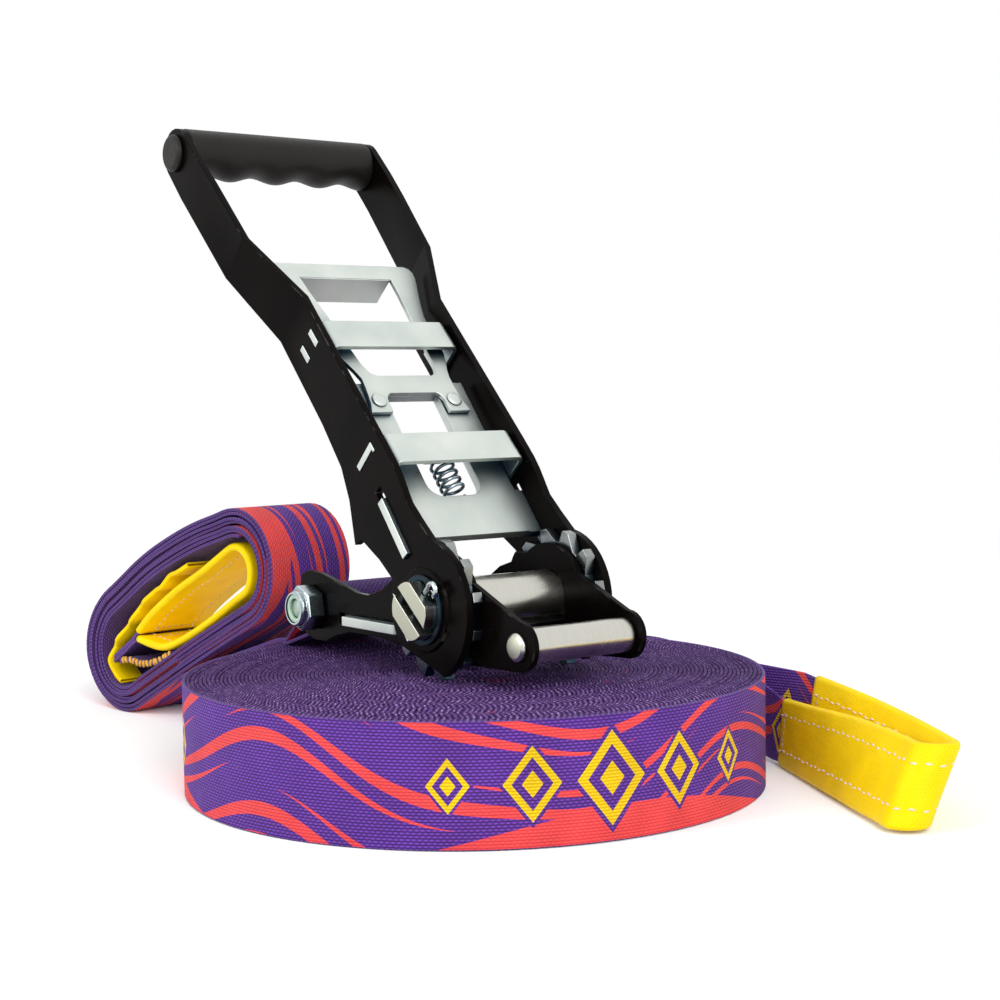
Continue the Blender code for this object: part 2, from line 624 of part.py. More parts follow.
def grip_place():
    return HANDLE_LENGTH, HANDLE_DEPTH * GRIP_LEVEL_SHARE


def handle_outline():
    rear = [(HANDLE_LENGTH * along, HANDLE_DEPTH * up) for along, up in HANDLE_REAR_SHARES]
    front = [(HANDLE_LENGTH * along, HANDLE_DEPTH * up) for along, up in HANDLE_FRONT_SHARES]
    return (arc((0, 0), HANDLE_HUB_RADIUS, -86, -22, 8) + rear + arc(grip_place(), HANDLE_END_RADIUS, -90, 90, 12)
            + front + arc((0, 0), HANDLE_LOBE_RADIUS, 54, 198, 18))


def slider_place(along, level):
    """A point of the slider's own plane, seen in the handle's."""
    return turned([(along, level)], SLIDER_TILT)[0]


def wing_slot():
    half = PAWL_THICKNESS / 2 + GAP
    low, high = PAWL_WING_START - GAP, PAWL_WING_END + DRIVE_PAWL_TRAVEL + GAP
    return turned(rectangle(low, high, PAWL_LEVEL - half, PAWL_LEVEL + half), SLIDER_TILT)


def lower_tabs():
    """The lower strip's tab: a bar across the plate with a foot at each end."""
    high = LOWER_STRIP_START + LOWER_STRIP_WIDTH - GAP
    low = high - TAB_THICKNESS
    bottom, top = HANDLE_DEPTH * 0.16, HANDLE_DEPTH * 0.66
    foot = TAB_THICKNESS / 2
    return [[(low, bottom), (high, bottom), (high, top - foot), (high, top), (low - foot, top),
             (low - foot, top - foot), (low, top - foot)]]


def upper_tabs():
    """The upper strip's two tabs, one above the other along the plate."""
    low, high = UPPER_STRIP_START + UPPER_STRIP_WIDTH * 0.35, UPPER_STRIP_START + UPPER_STRIP_WIDTH * 0.88
    half = TAB_THICKNESS / 2
    return [rectangle(low, high, HANDLE_DEPTH * share - half, HANDLE_DEPTH * share + half)
            for share in TAB_LEVEL_SHARES]


def grown(loop, margin):
    """The loop moved out by margin on every side. It runs counter-clockwise."""
    out = []
    for i, here in enumerate(loop):
        before, after = Vector(loop[i - 1]), Vector(loop[(i + 1) % len(loop)])
        one = (Vector(here) - before).normalized()
        two = (after - Vector(here)).normalized()
        normal_one, normal_two = Vector((one.y, -one.x)), Vector((two.y, -two.x))
        reach = margin / (1 + normal_one.dot(normal_two))
        out.append(tuple(Vector(here) + (normal_one + normal_two) * reach))
    return out


def handle_plate(side, word, painted, pivot):
    tabs = [grown(tab, GAP) for tab in lower_tabs() + upper_tabs()]
    loops = [handle_outline(), circle((0, 0), MANDREL_BORE, 32), wing_slot(),
             circle(grip_place(), GRIP_ROD_RADIUS + GAP, 20)] + tabs
    low = side * HANDLE_IN
    mesh_data = flat_fill(loops, lambda a, b: (low, a, b))
    starts = [HANDLE_LENGTH * share for share in (*JOGGLE_SHARES, SPREAD_SHARES[1])]
    for start in starts:
        bmesh.ops.bisect_plane(mesh_data, geom=mesh_data.verts[:] + mesh_data.edges[:] + mesh_data.faces[:],
                               plane_co=(0, start, 0), plane_no=(0, 1, 0), dist=GAP * 0.1)
    extrude(mesh_data, Vector((side * HANDLE_PLATE, 0, 0)))
    for vert in mesh_data.verts:
        vert.co.x += side * joggle(vert.co.y)
    made = finish("handle_plate_" + word, mesh_data, painted, pivot)
    inner = COLLAR_RADIUS * 0.8
    ring = [(side * (HANDLE_OUT - OVERRUN / 2), inner), (side * (HANDLE_OUT - OVERRUN / 2), COLLAR_RADIUS),
            (side * (COLLAR_OUT - GAP), COLLAR_RADIUS), (side * COLLAR_OUT, COLLAR_RADIUS - GAP * 2),
            (side * COLLAR_OUT, inner)]
    boolean(made, turning("collar_form_" + word, ring, 32, painted, pivot), "UNION")


def cross_strip(name, start, width, tabs, tongue, zinc, pivot):
    """A strip across the handle's front, bent back at both ends, with tabs that pass through the plates."""
    front, rear = STRIP_FRONT, STRIP_FRONT - STRIP_THICKNESS
    foot = HANDLE_DEPTH * 0.13
    out, inner = STRIP_IN, STRIP_IN - STRIP_THICKNESS
    bend, inner_bend = STRIP_BEND, STRIP_BEND - STRIP_THICKNESS
    half = ([(out, foot)] + [(out - bend + a, front - bend + b) for a, b in arc((0, 0), bend, 0, 90, 5)])
    inside = ([(inner, foot)] + [(inner - inner_bend + a, rear - inner_bend + b)
                                 for a, b in arc((0, 0), inner_bend, 0, 90, 4)])
    outline = half + [(-a, b) for a, b in reversed(half)] + [(-a, b) for a, b in inside] + list(reversed(inside))
    mesh_data = flat_fill([outline], lambda a, b: (a, start, b))
    extrude(mesh_data, Vector((0, width, 0)))
    made = finish(name, mesh_data, zinc, pivot)
    proud = HANDLE_OUT + GAP
    for i, tab in enumerate(tabs):
        for side, word in ((-1, "left"), (1, "right")):
            form = plate(f"{name}_tab_{i}_{word}", [tab], side * (inner + GAP), side * proud, zinc, pivot)
            boolean(made, form, "UNION")
    if tongue:
        high = start + width - STRIP_THICKNESS
        reach = SPRING_RADIUS
        form = plate(name + "_tongue", [rectangle(high, high + STRIP_THICKNESS - GAP,
                                                  HANDLE_DEPTH * 0.2, rear + STRIP_THICKNESS / 2)],
                     -reach, reach, zinc, pivot)
        boolean(made, form, "UNION")
    return made


def grip(pivot, plastic, steel):
    """A moulded grip on its rod. Its underside has a hollow for each finger."""
    along, level = grip_place()
    place = (0, along, level)
    half = GRIP_IN - GAP
    down = math.radians(-90.0 - HANDLE_LEAN)
    around, stations = 20, GRIP_FINGERS * 7
    outer, bore = [], []
    for i in range(stations + 1):
        share = i / stations
        x = -half + 2 * half * share
        hollow = GRIP_SCALLOP * math.sin(math.pi * GRIP_FINGERS * share) ** 2
        ring = []
        for k in range(around):
            angle = math.tau * k / around
            facing = max(0.0, math.cos(angle - down)) ** 1.5
            radius = GRIP_RADIUS - hollow * facing
            ring.append((x, radius * math.cos(angle), radius * math.sin(angle)))
        outer.append(ring)
    hole = GRIP_ROD_RADIUS + GAP
    for x in (half, -half):
        bore.append([(x, hole * math.cos(math.tau * k / around), hole * math.sin(math.tau * k / around))
                     for k in range(around)])
    loft("handle_grip", outer + bore, plastic, pivot, place, hollow=True)
    end = GRIP_OUT
    turning("grip_rod", [(-end, 0), (-end, GRIP_ROD_RADIUS), (end, GRIP_ROD_RADIUS), (end, 0)],
            20, steel, pivot, place)
    for side, word in ((-1, "left"), (1, "right")):
        face = end + GAP
        profile = [(side * face, 0), (side * face, GRIP_CAP_RADIUS),
                   (side * (face + GRIP_CAP_HEIGHT * 0.6), GRIP_CAP_RADIUS),
                   (side * (face + GRIP_CAP_HEIGHT), GRIP_CAP_RADIUS * 0.8),
                   (side * (face + GRIP_CAP_HEIGHT), 0)]
        turning("grip_cap_" + word, profile, 28, plastic, pivot, place)


def slider(slide, zinc, steel):
    """The drive pawl and the plate that pulls it: both slide along the handle as one."""
    low, high = PAWL_LEVEL - PAWL_THICKNESS / 2, PAWL_LEVEL + PAWL_THICKNESS / 2
    nose = math.sqrt(PAWL_RADIUS ** 2 - low ** 2) + GAP
    wing = HANDLE_OUT + PAWL_WING_REACH
    body = STRIP_IN - STRIP_THICKNESS - GAP * 3
    shoulder = PAWL_WING_END
    step = WHEEL_THICKNESS / 2
    opening = PAWL_OPENING / 2
    half = [(WHEEL_IN - step, nose + GAP * 2), (WHEEL_IN, nose), (HANDLE_IN - GAP / 2, nose),
            (HANDLE_IN - GAP / 2, PAWL_WING_START + step / 2), (HANDLE_IN + GAP, PAWL_WING_START),
            (wing, PAWL_WING_START), (wing, shoulder), (HANDLE_IN - GAP, shoulder), (body, shoulder + step / 4),
            (body, PAWL_TOP)]
    outline = half + [(-a, b) for a, b in reversed(half)]
    corner = opening * 0.5
    left = arc((-opening + corner, PAWL_OPENING_START + corner), corner, 180, 270, 5)
    right = arc((opening - corner, PAWL_OPENING_START + corner), corner, 270, 360, 5)
    top = PULL_START + PULL_NOTCH
    window = left + right + [(opening, top), (-opening, top)]
    lugs = [(sign * PAWL_OPENING * 0.717, PULL_START + PULL_NOTCH * 0.6) for sign in (-1, 1)]
    holes = [circle(lug, PULL_RIVET_RADIUS * 0.6 + GAP, 16) for lug in lugs]
    sheet_plate("pawl_plate", [outline, window] + holes, low, high, zinc, slide)
    pull_plate(high + GAP, body, holes, zinc, slide)
    for (x, along), word in zip(lugs, ("left", "right")):
        rivet("pull_rivet_" + word, (x, along), low, high + GAP + PULL_THICKNESS, steel, slide)


# The pull plate's edge and window, as (share of the slider's half width, share of the plate's length)
PULL_EDGE_SHARES = [(0.86, 0.0), (0.81, 0.05), (0.79, 0.10), (0.775, 0.15), (0.77, 0.20), (0.81, 0.25), (0.88, 0.31),
                    (0.94, 0.37), (0.97, 0.50), (1.0, 0.63), (1.0, 0.77), (1.0, 0.87), (0.995, 0.915), (0.965, 0.955),
                    (0.90, 0.985), (0.80, 1.0)]
PULL_WINDOW_SHARES = [(0.47, 0.217), (0.57, 0.235), (0.63, 0.29), (0.66, 0.40), (0.72, 0.60), (0.79, 0.80)]
PULL_LUG_SHARES = [(0.49, 0.0), (0.49, 0.07), (0.46, 0.095), (0.40, 0.111)]


def joggle(along):
    """How far a handle plate has moved outwards at this distance from the mandrel's axis."""
    moved = 0
    for reach, shares in ((HANDLE_JOGGLE, JOGGLE_SHARES), (HANDLE_SPREAD, SPREAD_SHARES)):
        low, high = (HANDLE_LENGTH * share for share in shares)
        moved += reach * min(max((along - low) / (high - low), 0.0), 1.0)
    return moved


def pull_plate(low, body, holes, zinc, slide):
    """A plate bent back above its lugs, with a wide head between the joggled plates and a lip for the fingers."""
    length = PULL_TOP - PULL_START
    half = [(body * side + joggle(PULL_START + length * share), PULL_START + length * share)
            for side, share in PULL_EDGE_SHARES]
    notch = [(body * side, PULL_START + length * share) for side, share in PULL_LUG_SHARES]
    crown = PULL_TOP - PULL_CROWN
    opening = [(body * side, PULL_START + length * share) for side, share in PULL_WINDOW_SHARES]
    opening.append((body * 0.81, crown))
    outline = half + [(-a, b) for a, b in reversed(half)] + [(-a, b) for a, b in notch] + list(reversed(notch))
    window = opening + [(-a, b) for a, b in reversed(opening)]
    start = PAWL_TOP + GAP
    mesh_data = flat_fill([outline, window] + holes, lambda a, b: (a, b, low))
    bmesh.ops.bisect_plane(mesh_data, geom=mesh_data.verts[:] + mesh_data.edges[:] + mesh_data.faces[:],
                           plane_co=(0, start, 0), plane_no=(0, 1, 0), dist=GAP * 0.1)
    extrude(mesh_data, Vector((0, 0, PULL_THICKNESS)))
    slope = math.tan(math.radians(PULL_BEND))
    for vert in mesh_data.verts:
        vert.co.z -= max(vert.co.y - start, 0.0) * slope
    made = finish("pull_plate", mesh_data, zinc, slide)
    seat = low - (crown - start) * slope
    lip_half = body * 0.79
    lip = plate("finger_lip_form", [[(crown - PULL_THICKNESS / 2, seat - PULL_LIP),
                                     (crown + PULL_THICKNESS / 2, seat - PULL_LIP),
                                     (crown + PULL_THICKNESS, seat + PULL_THICKNESS - GAP * 2),
                                     (crown - GAP, seat + PULL_THICKNESS - GAP * 2)]],
                -lip_half, lip_half, zinc, slide)
    boolean(made, lip, "UNION")


def rivet(name, place, low, high, finish_material, parent):
    """A rivet along Z with a domed head above and a flat one below."""
    shank, head = PULL_RIVET_RADIUS * 0.6, PULL_RIVET_RADIUS
    dome = head * 0.3
    profile = [(low - GAP - dome / 2, 0), (low - GAP - dome / 2, head), (low - GAP, head), (low - GAP, shank),
               (high + GAP, shank), (high + GAP, head), (high + GAP + dome * 0.6, head * 0.85),
               (high + GAP + dome, head * 0.4), (high + GAP + dome, 0)]
    made = turning(name, profile, 20, finish_material, parent)
    made.data.transform(Matrix.Rotation(math.radians(-90.0), 4, "Y"))
    made.location = (place[0], place[1], 0)


# The anchor strap: its eye round the anchor spacer, its run over the roll's rim and its own roll.
# The run's route is chosen by hand. Each place is (middle point, turn of the webbing about Z).
STRAP_RUN_ROUTE = [((-0.0002, 0.1240, 0.0521), 0), ((-0.0006, 0.1320, 0.0516), 0), ((-0.0040, 0.1460, 0.0470), 2),
                   ((-0.0080, 0.1660, 0.0409), 4), ((-0.0112, 0.1840, 0.0353), 6), ((-0.0134, 0.1990, 0.0305), 7),
                   ((-0.0149, 0.2120, 0.0258), 7), ((-0.0163, 0.2240, 0.0204), 7)]
STRAP_NEAR = (0.0340, 0.0852)
STRAP_NEAR_RADIUS = 0.0317
STRAP_FAR_ALONG = 0.1418
STRAP_FAR_RADIUS = 0.0355
STRAP_EYE_NEAR = (0.0380, 0.0834)
STRAP_EYE_RADIUS = 0.0125
STRAP_EYE_TOP_ROUTE = [(0.1180, 0.0530), (0.1000, 0.0640), (0.0700, 0.0805), (0.0530, 0.0900)]
STRAP_EYE_RETURN_ROUTE = [(0.0420, 0.0690), (0.0620, 0.0600), (0.0900, 0.0480), (0.1120, 0.0420)]
STRAP_NECK_ROUTE = [(0.1330, 0.0405), (0.1440, 0.0350), (0.1610, 0.0247)]


def keep_place(made, root):
    """Puts a piece modelled in place under its carrier, without moving it."""
    made.parent = root
    made.location = -root.location
    return made


def strap_run(webbing):
    """A single layer of webbing from the sewn neck, over the rim, to the strap's own roll."""
    rim = Vector((0, ROLL_RADIUS - ROUTE_RADIUS, 0))
    stations = [(Vector(place) + rim, Vector((math.cos(math.radians(turn)), math.sin(math.radians(turn)), 0)),
                 STRAP_WIDTH) for place, turn in STRAP_RUN_ROUTE]
    return ribbon("strap_run_form", stations, WEB_THICKNESS, webbing)


def level_stations(route, width):
    """Stations for webbing that lies level across the strap's roll."""
    return [((0, a, b), Vector((1, 0, 0)), width) for a, b in route]


def strap(root, webbing, sleeve):
    half = STRAP_WIDTH / 2
    place = Vector((STRAP_ROLL_OFFSET, STRAP_ROLL_START, 0)) - root.location
    turn = (0, 0, math.radians(STRAP_ROLL_TURN))
    far = (STRAP_FAR_ALONG, STRAP_FAR_RADIUS + GAP)
    wall = STRAP_ROLL_WALL
    loops = [rounded_hull(STRAP_NEAR, STRAP_NEAR_RADIUS, far, STRAP_FAR_RADIUS, 22),
             rounded_hull(STRAP_NEAR, STRAP_NEAR_RADIUS - wall, far, STRAP_FAR_RADIUS - wall, 18)]
    strap_roll = plate("anchor_strap", loops, -half, half, webbing, root, place, turn)

    hole = SPACER_RADIUS + GAP
    bolt = (MANDREL_Y + ANCHOR_Y, MANDREL_Z - ANCHOR_DROP)
    neck = (ROLL_RADIUS, WEB_WIDTH + GAP + WEB_THICKNESS)
    narrow = tuple(Vector(bolt).lerp(Vector(neck), 0.7))
    loops = [rounded_hull(bolt, hole + WEB_THICKNESS, neck, WEB_THICKNESS, 20),
             rounded_hull(bolt, hole, narrow, GAP, 18)]
    eye_form = plate("bolt_eye_form", loops, -half, half, webbing)
    boolean(strap_roll, keep_place(eye_form, root), "UNION")
    boolean(strap_roll, keep_place(strap_run(webbing), root), "UNION")

    bend = arc(STRAP_EYE_NEAR, STRAP_EYE_RADIUS, 60, 238, 6)
    eye = smoothed(STRAP_EYE_TOP_ROUTE + bend + STRAP_EYE_RETURN_ROUTE)
    outer, inner = STRAP_WIDTH * SLEEVE_SHARE, STRAP_WIDTH * SLEEVE_SHARE - 2 * SLEEVE_HEM
    along, up = Vector(STRAP_NECK_ROUTE[0]).lerp(Vector(STRAP_NECK_ROUTE[1]), 0.35)
    route = [(along, up + WEB_THICKNESS * 0.6)] + eye + [(along, up - WEB_THICKNESS * 0.6)]
    band = ribbon("strap_eye_form", level_stations(route, inner), WEB_THICKNESS, webbing, root)
    neck = ribbon("strap_neck_form", level_stations(STRAP_NECK_ROUTE, inner + GAP), WEB_THICKNESS * 2.5,
                  webbing, root)
    cover = tube("strap_loop_sleeve", level_stations(eye, outer), SLEEVE_THICKNESS, sleeve, root)
    for made in (band, neck, cover):
        made.location = place
        made.rotation_euler = turn
    boolean(band, neck, "UNION")
    boolean(strap_roll, band, "UNION")


def main():
    for item in list(bpy.data.objects):
        bpy.data.objects.remove(item, do_unlink=True)
    webbing = material("purple_webbing", (0.078, 0.026, 0.28), 0.85)
    sleeve = material("yellow_sleeve", (1.0, 0.70, 0.01), 0.7)
    painted = material("black_paint", (0.012, 0.012, 0.012), 0.38)
    plastic = material("black_plastic", (0.014, 0.014, 0.015), 0.5)
    zinc = material("zinc_plate", (0.60, 0.64, 0.63), 0.32, 1.0)
    steel = material("bright_steel", (0.70, 0.70, 0.70), 0.18, 1.0)
    insert = material("nut_insert", (0.55, 0.72, 0.58), 0.5)

    line(webbing, sleeve)
    root = empty("ratchet_carrier", (0, MANDREL_Y, MANDREL_Z))
    frame(root, painted, zinc)
    anchor(root, zinc, insert)
    roller(root, empty("roller_axis", (0, ROLLER_Y, -ROLLER_DROP), 0, root), steel)
    lock = empty("lock_pawl_slide", (0, 0, -LOCK_PAWL_DROP), 0, root)
    slit_end = lock_pawl(lock, zinc)
    helix("lock_pawl_spring", (0, slit_end + GAP + SPRING_WIRE, 0), (0, SPRING_BAR_Y - GAP - SPRING_WIRE, 0),
          SPRING_RADIUS, SPRING_TURNS, steel, lock)
    mandrel(empty("mandrel_axis", (0, 0, 0), MANDREL_TURN, root), steel, zinc)
    pivot = empty("handle_axis", (0, 0, 0), HANDLE_LEAN, root)
    for side, word in ((-1, "left"), (1, "right")):
        handle_plate(side, word, painted, pivot)
    cross_strip("cross_strip_lower", LOWER_STRIP_START, LOWER_STRIP_WIDTH, lower_tabs(), True, zinc, pivot)
    cross_strip("cross_strip_upper", UPPER_STRIP_START, UPPER_STRIP_WIDTH, upper_tabs(), False, zinc, pivot)
    grip(pivot, plastic, steel)
    slide = empty("slider_guide", (0, 0, 0), SLIDER_TILT, pivot)
    slider(slide, zinc, steel)
    seat = LOWER_STRIP_START + LOWER_STRIP_WIDTH - STRIP_THICKNESS
    helix("drive_pawl_spring", (0, PAWL_OPENING_START + GAP + SPRING_WIRE, PAWL_LEVEL),
          (0, seat - GAP - SPRING_WIRE * 2, PAWL_LEVEL), SPRING_RADIUS, SPRING_TURNS - 1, steel, slide)
    strap(root, webbing, sleeve)


main()
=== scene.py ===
import json
import math
from functools import partial

import bmesh
import bpy
from mathutils import Matrix, Vector

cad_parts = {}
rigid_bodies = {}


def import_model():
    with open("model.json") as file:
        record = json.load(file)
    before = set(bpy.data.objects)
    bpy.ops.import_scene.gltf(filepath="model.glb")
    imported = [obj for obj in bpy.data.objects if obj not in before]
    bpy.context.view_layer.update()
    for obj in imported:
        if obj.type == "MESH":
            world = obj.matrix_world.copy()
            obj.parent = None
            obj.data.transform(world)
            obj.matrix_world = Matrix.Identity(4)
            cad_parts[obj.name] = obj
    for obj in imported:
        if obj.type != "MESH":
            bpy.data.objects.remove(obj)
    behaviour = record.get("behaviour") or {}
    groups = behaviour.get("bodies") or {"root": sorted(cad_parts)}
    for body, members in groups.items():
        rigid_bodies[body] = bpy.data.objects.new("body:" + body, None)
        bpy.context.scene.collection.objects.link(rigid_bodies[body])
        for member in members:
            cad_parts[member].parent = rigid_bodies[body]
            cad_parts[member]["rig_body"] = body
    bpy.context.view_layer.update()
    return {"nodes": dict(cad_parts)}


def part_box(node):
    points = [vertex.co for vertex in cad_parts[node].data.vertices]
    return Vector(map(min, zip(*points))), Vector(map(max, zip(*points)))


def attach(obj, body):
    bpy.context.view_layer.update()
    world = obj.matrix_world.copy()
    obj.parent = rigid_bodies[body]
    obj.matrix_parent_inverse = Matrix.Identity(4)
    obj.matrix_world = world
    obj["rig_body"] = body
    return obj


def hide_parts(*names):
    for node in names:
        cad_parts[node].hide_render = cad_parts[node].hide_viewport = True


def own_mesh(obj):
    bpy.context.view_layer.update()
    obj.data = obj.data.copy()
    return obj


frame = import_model()


# Studio. A pale matt floor whose colour fades to white, a white surround that gives a soft even light,
# three large soft lamps round it, and the camera at the photograph's place.
SURROUND_LIGHT = 0.72
WHITE = (1, 1, 1, 1)
FLOOR_RADIUS = 6.0
FADE_START, FADE_END = 0.42, 1.5
LENS, SENSOR_WIDTH = 64.75, 36
# The camera's turn, rise and roll in degrees, and its place to the right, up and back.
CAMERA_ANGLES = (-36.83, 3.43, -0.82)
CAMERA_RIGHT, CAMERA_UP, CAMERA_BACK = 0.01217, 0.12447, 0.80342
# A lamp's name, its place to the right, towards the camera and up, its width, and its power in watts.
LAMPS = [("key softbox", (0.5, 1.9, 1.0), 1.3, 24.0), ("left softbox", (-1.9, 0.9, 0.9), 1.2, 16.0),
         ("top softbox", (-0.5, -0.7, 2.1), 1.8, 4.0)]
LAMPS_FACE = Vector((0, 0, 0.1))


def colour(code):
    """An sRGB hex value as linear red, green, blue and alpha."""
    parts = [int(code[i:i + 2], 16) / 255 for i in (1, 3, 5)]
    return tuple(c / 12.92 if c <= 0.04045 else ((c + 0.055) / 1.055) ** 2.4 for c in parts) + (1.0,)


def add_node(tree, kind, *values, **named):
    """A node. Its kind may be followed by its operation. The values fill its sockets in order, a capitalised name
    is a socket's and a small one a setting's. A node as a value stands for its first output, a hex value for its
    colour."""
    kind, _, operation = kind.partition(" ")
    made = tree.nodes.new("ShaderNode" + kind)
    if operation:
        made.operation = operation
    for key in [key for key in named if key[0].islower()]:
        setattr(made, key, named.pop(key))
    sockets = [*made.inputs[:len(values)], *(made.inputs[key.replace("_", " ")] for key in named)]
    for socket, value in zip(sockets, [*values, *named.values()]):
        if isinstance(value, str):
            value = colour(value)
        if isinstance(value, bpy.types.Node):
            value = value.outputs[0]
        if isinstance(value, bpy.types.NodeSocket):
            tree.links.new(value, socket)
        else:
            socket.default_value = value
    return made


def linked(name, data):
    """An object in the scene."""
    made = bpy.data.objects.new(name, data)
    bpy.context.collection.objects.link(made)
    return made


def new_material(name):
    """A material, what adds a node to it, and the place on the object, which its pattern goes by."""
    made = bpy.data.materials.new(name)
    made.use_nodes = True
    made.node_tree.nodes.clear()
    add = partial(add_node, made.node_tree)
    return made, add, add("TexCoord").outputs["Object"]


def seen_directly(add):
    """1 for rays from the camera, and for those that a shiny or clear surface sends on."""
    path = add("LightPath")
    shiny = add("Math MAXIMUM", path.outputs["Is Glossy Ray"], path.outputs["Is Transmission Ray"])
    return add("Math MAXIMUM", path.outputs["Is Camera Ray"], shiny)


world = bpy.data.worlds.new("white surround")
world.use_nodes = True
bpy.context.scene.world = world
world.node_tree.nodes.clear()
add = partial(add_node, world.node_tree)
light = add("Background", WHITE, SURROUND_LIGHT)
white = add("Background", WHITE, 1.0)
add("OutputWorld", add("MixShader", seen_directly(add), light, white))

shell = bmesh.new()
bmesh.ops.create_circle(shell, cap_ends=True, segments=96, radius=FLOOR_RADIUS)
floor_mesh = bpy.data.meshes.new("floor")
shell.to_mesh(floor_mesh)
shell.free()
floor = linked("floor", floor_mesh)
# Matt white card: it keeps the object's soft shadow, and fades away to plain white round it.
floor_card, add, place = new_material("pale matt floor")
far = add("VectorMath LENGTH", place)
# A map range's values are its input, the range it comes from, and the range it goes to, or else 0 to 1.
fade = add("MapRange", far.outputs["Value"], FADE_START, FADE_END, interpolation_type="SMOOTHSTEP")
share = add("Math MULTIPLY", seen_directly(add), fade)
matt = add("BsdfDiffuse", "#fafafa", 0.6)
bright = add("Emission", WHITE, 1.0)
add("OutputMaterial", add("MixShader", share, matt, bright))
floor_mesh.materials.append(floor_card)

turn, rise, roll = (math.radians(angle) for angle in CAMERA_ANGLES)
back = Vector((math.sin(turn) * math.cos(rise), -math.cos(turn) * math.cos(rise), math.sin(rise)))
right = Vector((math.cos(turn), math.sin(turn), 0))
up = back.cross(right)
camera_data = bpy.data.cameras.new("camera")
camera_data.lens = LENS
camera_data.sensor_width = SENSOR_WIDTH
camera = linked("camera", camera_data)
rolled_right = right * math.cos(roll) + up * math.sin(roll)
rolled_up = up * math.cos(roll) - right * math.sin(roll)
place = right * CAMERA_RIGHT + up * CAMERA_UP + back * CAMERA_BACK
camera.matrix_world = Matrix.Translation(place) @ Matrix((rolled_right, rolled_up, back)).transposed().to_4x4()
bpy.context.scene.camera = camera

for name, (aside, nearer, above), size, power in LAMPS:
    spot = right * aside + back * nearer + up * above
    lamp = bpy.data.lights.new(name, "AREA")
    lamp.shape = "DISK"
    lamp.size = size
    lamp.energy = power
    aim = (spot - LAMPS_FACE).to_track_quat("Z", "Y").to_matrix().to_4x4()
    linked(name, lamp).matrix_world = Matrix.Translation(spot) @ aim
bpy.context.scene.view_settings.view_transform = "Standard"


# The line. One length of flat polyester webbing, 50 mm wide, wound on edge into a flat roll with no core.
# The wound turns and the outer turn are two pieces of it here, because only the outer one shows its print.
WEB_WIDTH = 0.050
WEB_HALF = 0.00074
EDGE_ROUND = 0.0004
TURN_PITCH = 0.0018
OUTER_RADIUS = 0.1286
INNER_RADIUS = 0.0042
TAIL_ANGLE, TAIL_LEAVES = 10.0, 40.0
PRINTED_TURNS = 1.15
STEPS_PER_TURN = 90
EDGE_WANDER = 0.00026
BACK_OFFSET = 1.0
# A point of a section is its side, its distance in from that edge, and its share of the half thickness.
WEB_SECTION = [(-1, 0, -0.35), (-1, 0, 0.35), (-1, EDGE_ROUND, 1), (1, EDGE_ROUND, 1),
               (1, 0, 0.35), (1, 0, -0.35), (1, EDGE_ROUND, -1), (-1, EDGE_ROUND, -1)]
LEAN_DIRECTION = Vector((0.91, -0.42, 0))
# A row of the tail's routes is x, y and z of the webbing's middle, its lean in degrees, and its width up and down.
TAIL_ROUTE = [(0.1295, 0.0090, 0.0240, 4, 0.0476), (0.1308, -0.0150, 0.0226, 7, 0.0446),
              (0.1320, -0.0380, 0.0222, 9, 0.0420), (0.1312, -0.0580, 0.0232, 10, 0.0394),
              (0.1292, -0.0720, 0.0242, 11, 0.0376)]
EYE_BACK_ROUTE = [(0.1265, -0.0840, 0.0247, 11, 0.0370), (0.1205, -0.1020, 0.0238, 12, 0.0370),
                  (0.1110, -0.1290, 0.0222, 15, 0.0370), (0.1008, -0.1560, 0.0202, 18, 0.0366),
                  (0.0912, -0.1776, 0.0189, 21, 0.0360)]
EYE_BEND, EYE_BEND_RADIUS = (0.0774, -0.1864), 0.0082
EYE_BEND_ROW = (0.0184, 22, 0.0358)
EYE_FRONT_ROUTE = [(0.0743, -0.1756, 0.0183, 21, 0.0360), (0.0828, -0.1570, 0.0182, 19, 0.0360),
                   (0.0905, -0.1405, 0.0180, 17, 0.0355), (0.0981, -0.1239, 0.0176, 15, 0.0345),
                   (0.1065, -0.1050, 0.0170, 11, 0.0330), (0.1155, -0.0850, 0.0164, 7, 0.0318),
                   (0.1218, -0.0710, 0.0160, 5, 0.0310)]
EYE_NARROWER = 0.0030
LAP_ROUTE = [(0.1256, -0.0615, 0.0168, 5, 0.0305), (0.1284, -0.0510, 0.0186, 5, 0.0320),
             (0.1299, -0.0380, 0.0214, 5, 0.0355), (0.1298, -0.0240, 0.0234, 4, 0.0390)]


def arc(centre, radius, start, end, steps):
    """Points on a circle, from the start angle to the end angle in degrees."""
    angles = [math.radians(start + (end - start) * i / steps) for i in range(steps + 1)]
    return [(centre[0] + radius * math.cos(t), centre[1] + radius * math.sin(t)) for t in angles]


def smoothed(route, steps=6):
    """The route's rows with more rows between them, on a smooth curve through them all."""
    last = len(route) - 1
    rows = [route[0]]
    for i in range(last):
        near = [route[min(max(k, 0), last)] for k in (i - 1, i, i + 1, i + 2)]
        for step in range(1, steps + 1):
            t = step / steps
            weights = (-t + 2 * t ** 2 - t ** 3, 2 - 5 * t ** 2 + 3 * t ** 3,
                       t + 4 * t ** 2 - 3 * t ** 3, -t ** 2 + t ** 3)
            rows.append(tuple(sum(w * row[k] for w, row in zip(weights, near)) / 2 for k in range(len(near[0]))))
    return rows


def upright(route):
    """Stations (middle, across, width) for webbing on edge whose top leans over by the row's fourth number."""
    stations = []
    for x, y, z, lean, width in route:
        angle = math.radians(lean)
        across = (Vector((0, 0, math.cos(angle))) + LEAN_DIRECTION * math.sin(angle)).normalized()
        stations.append((Vector((x, y, z)), across, width))
    return stations


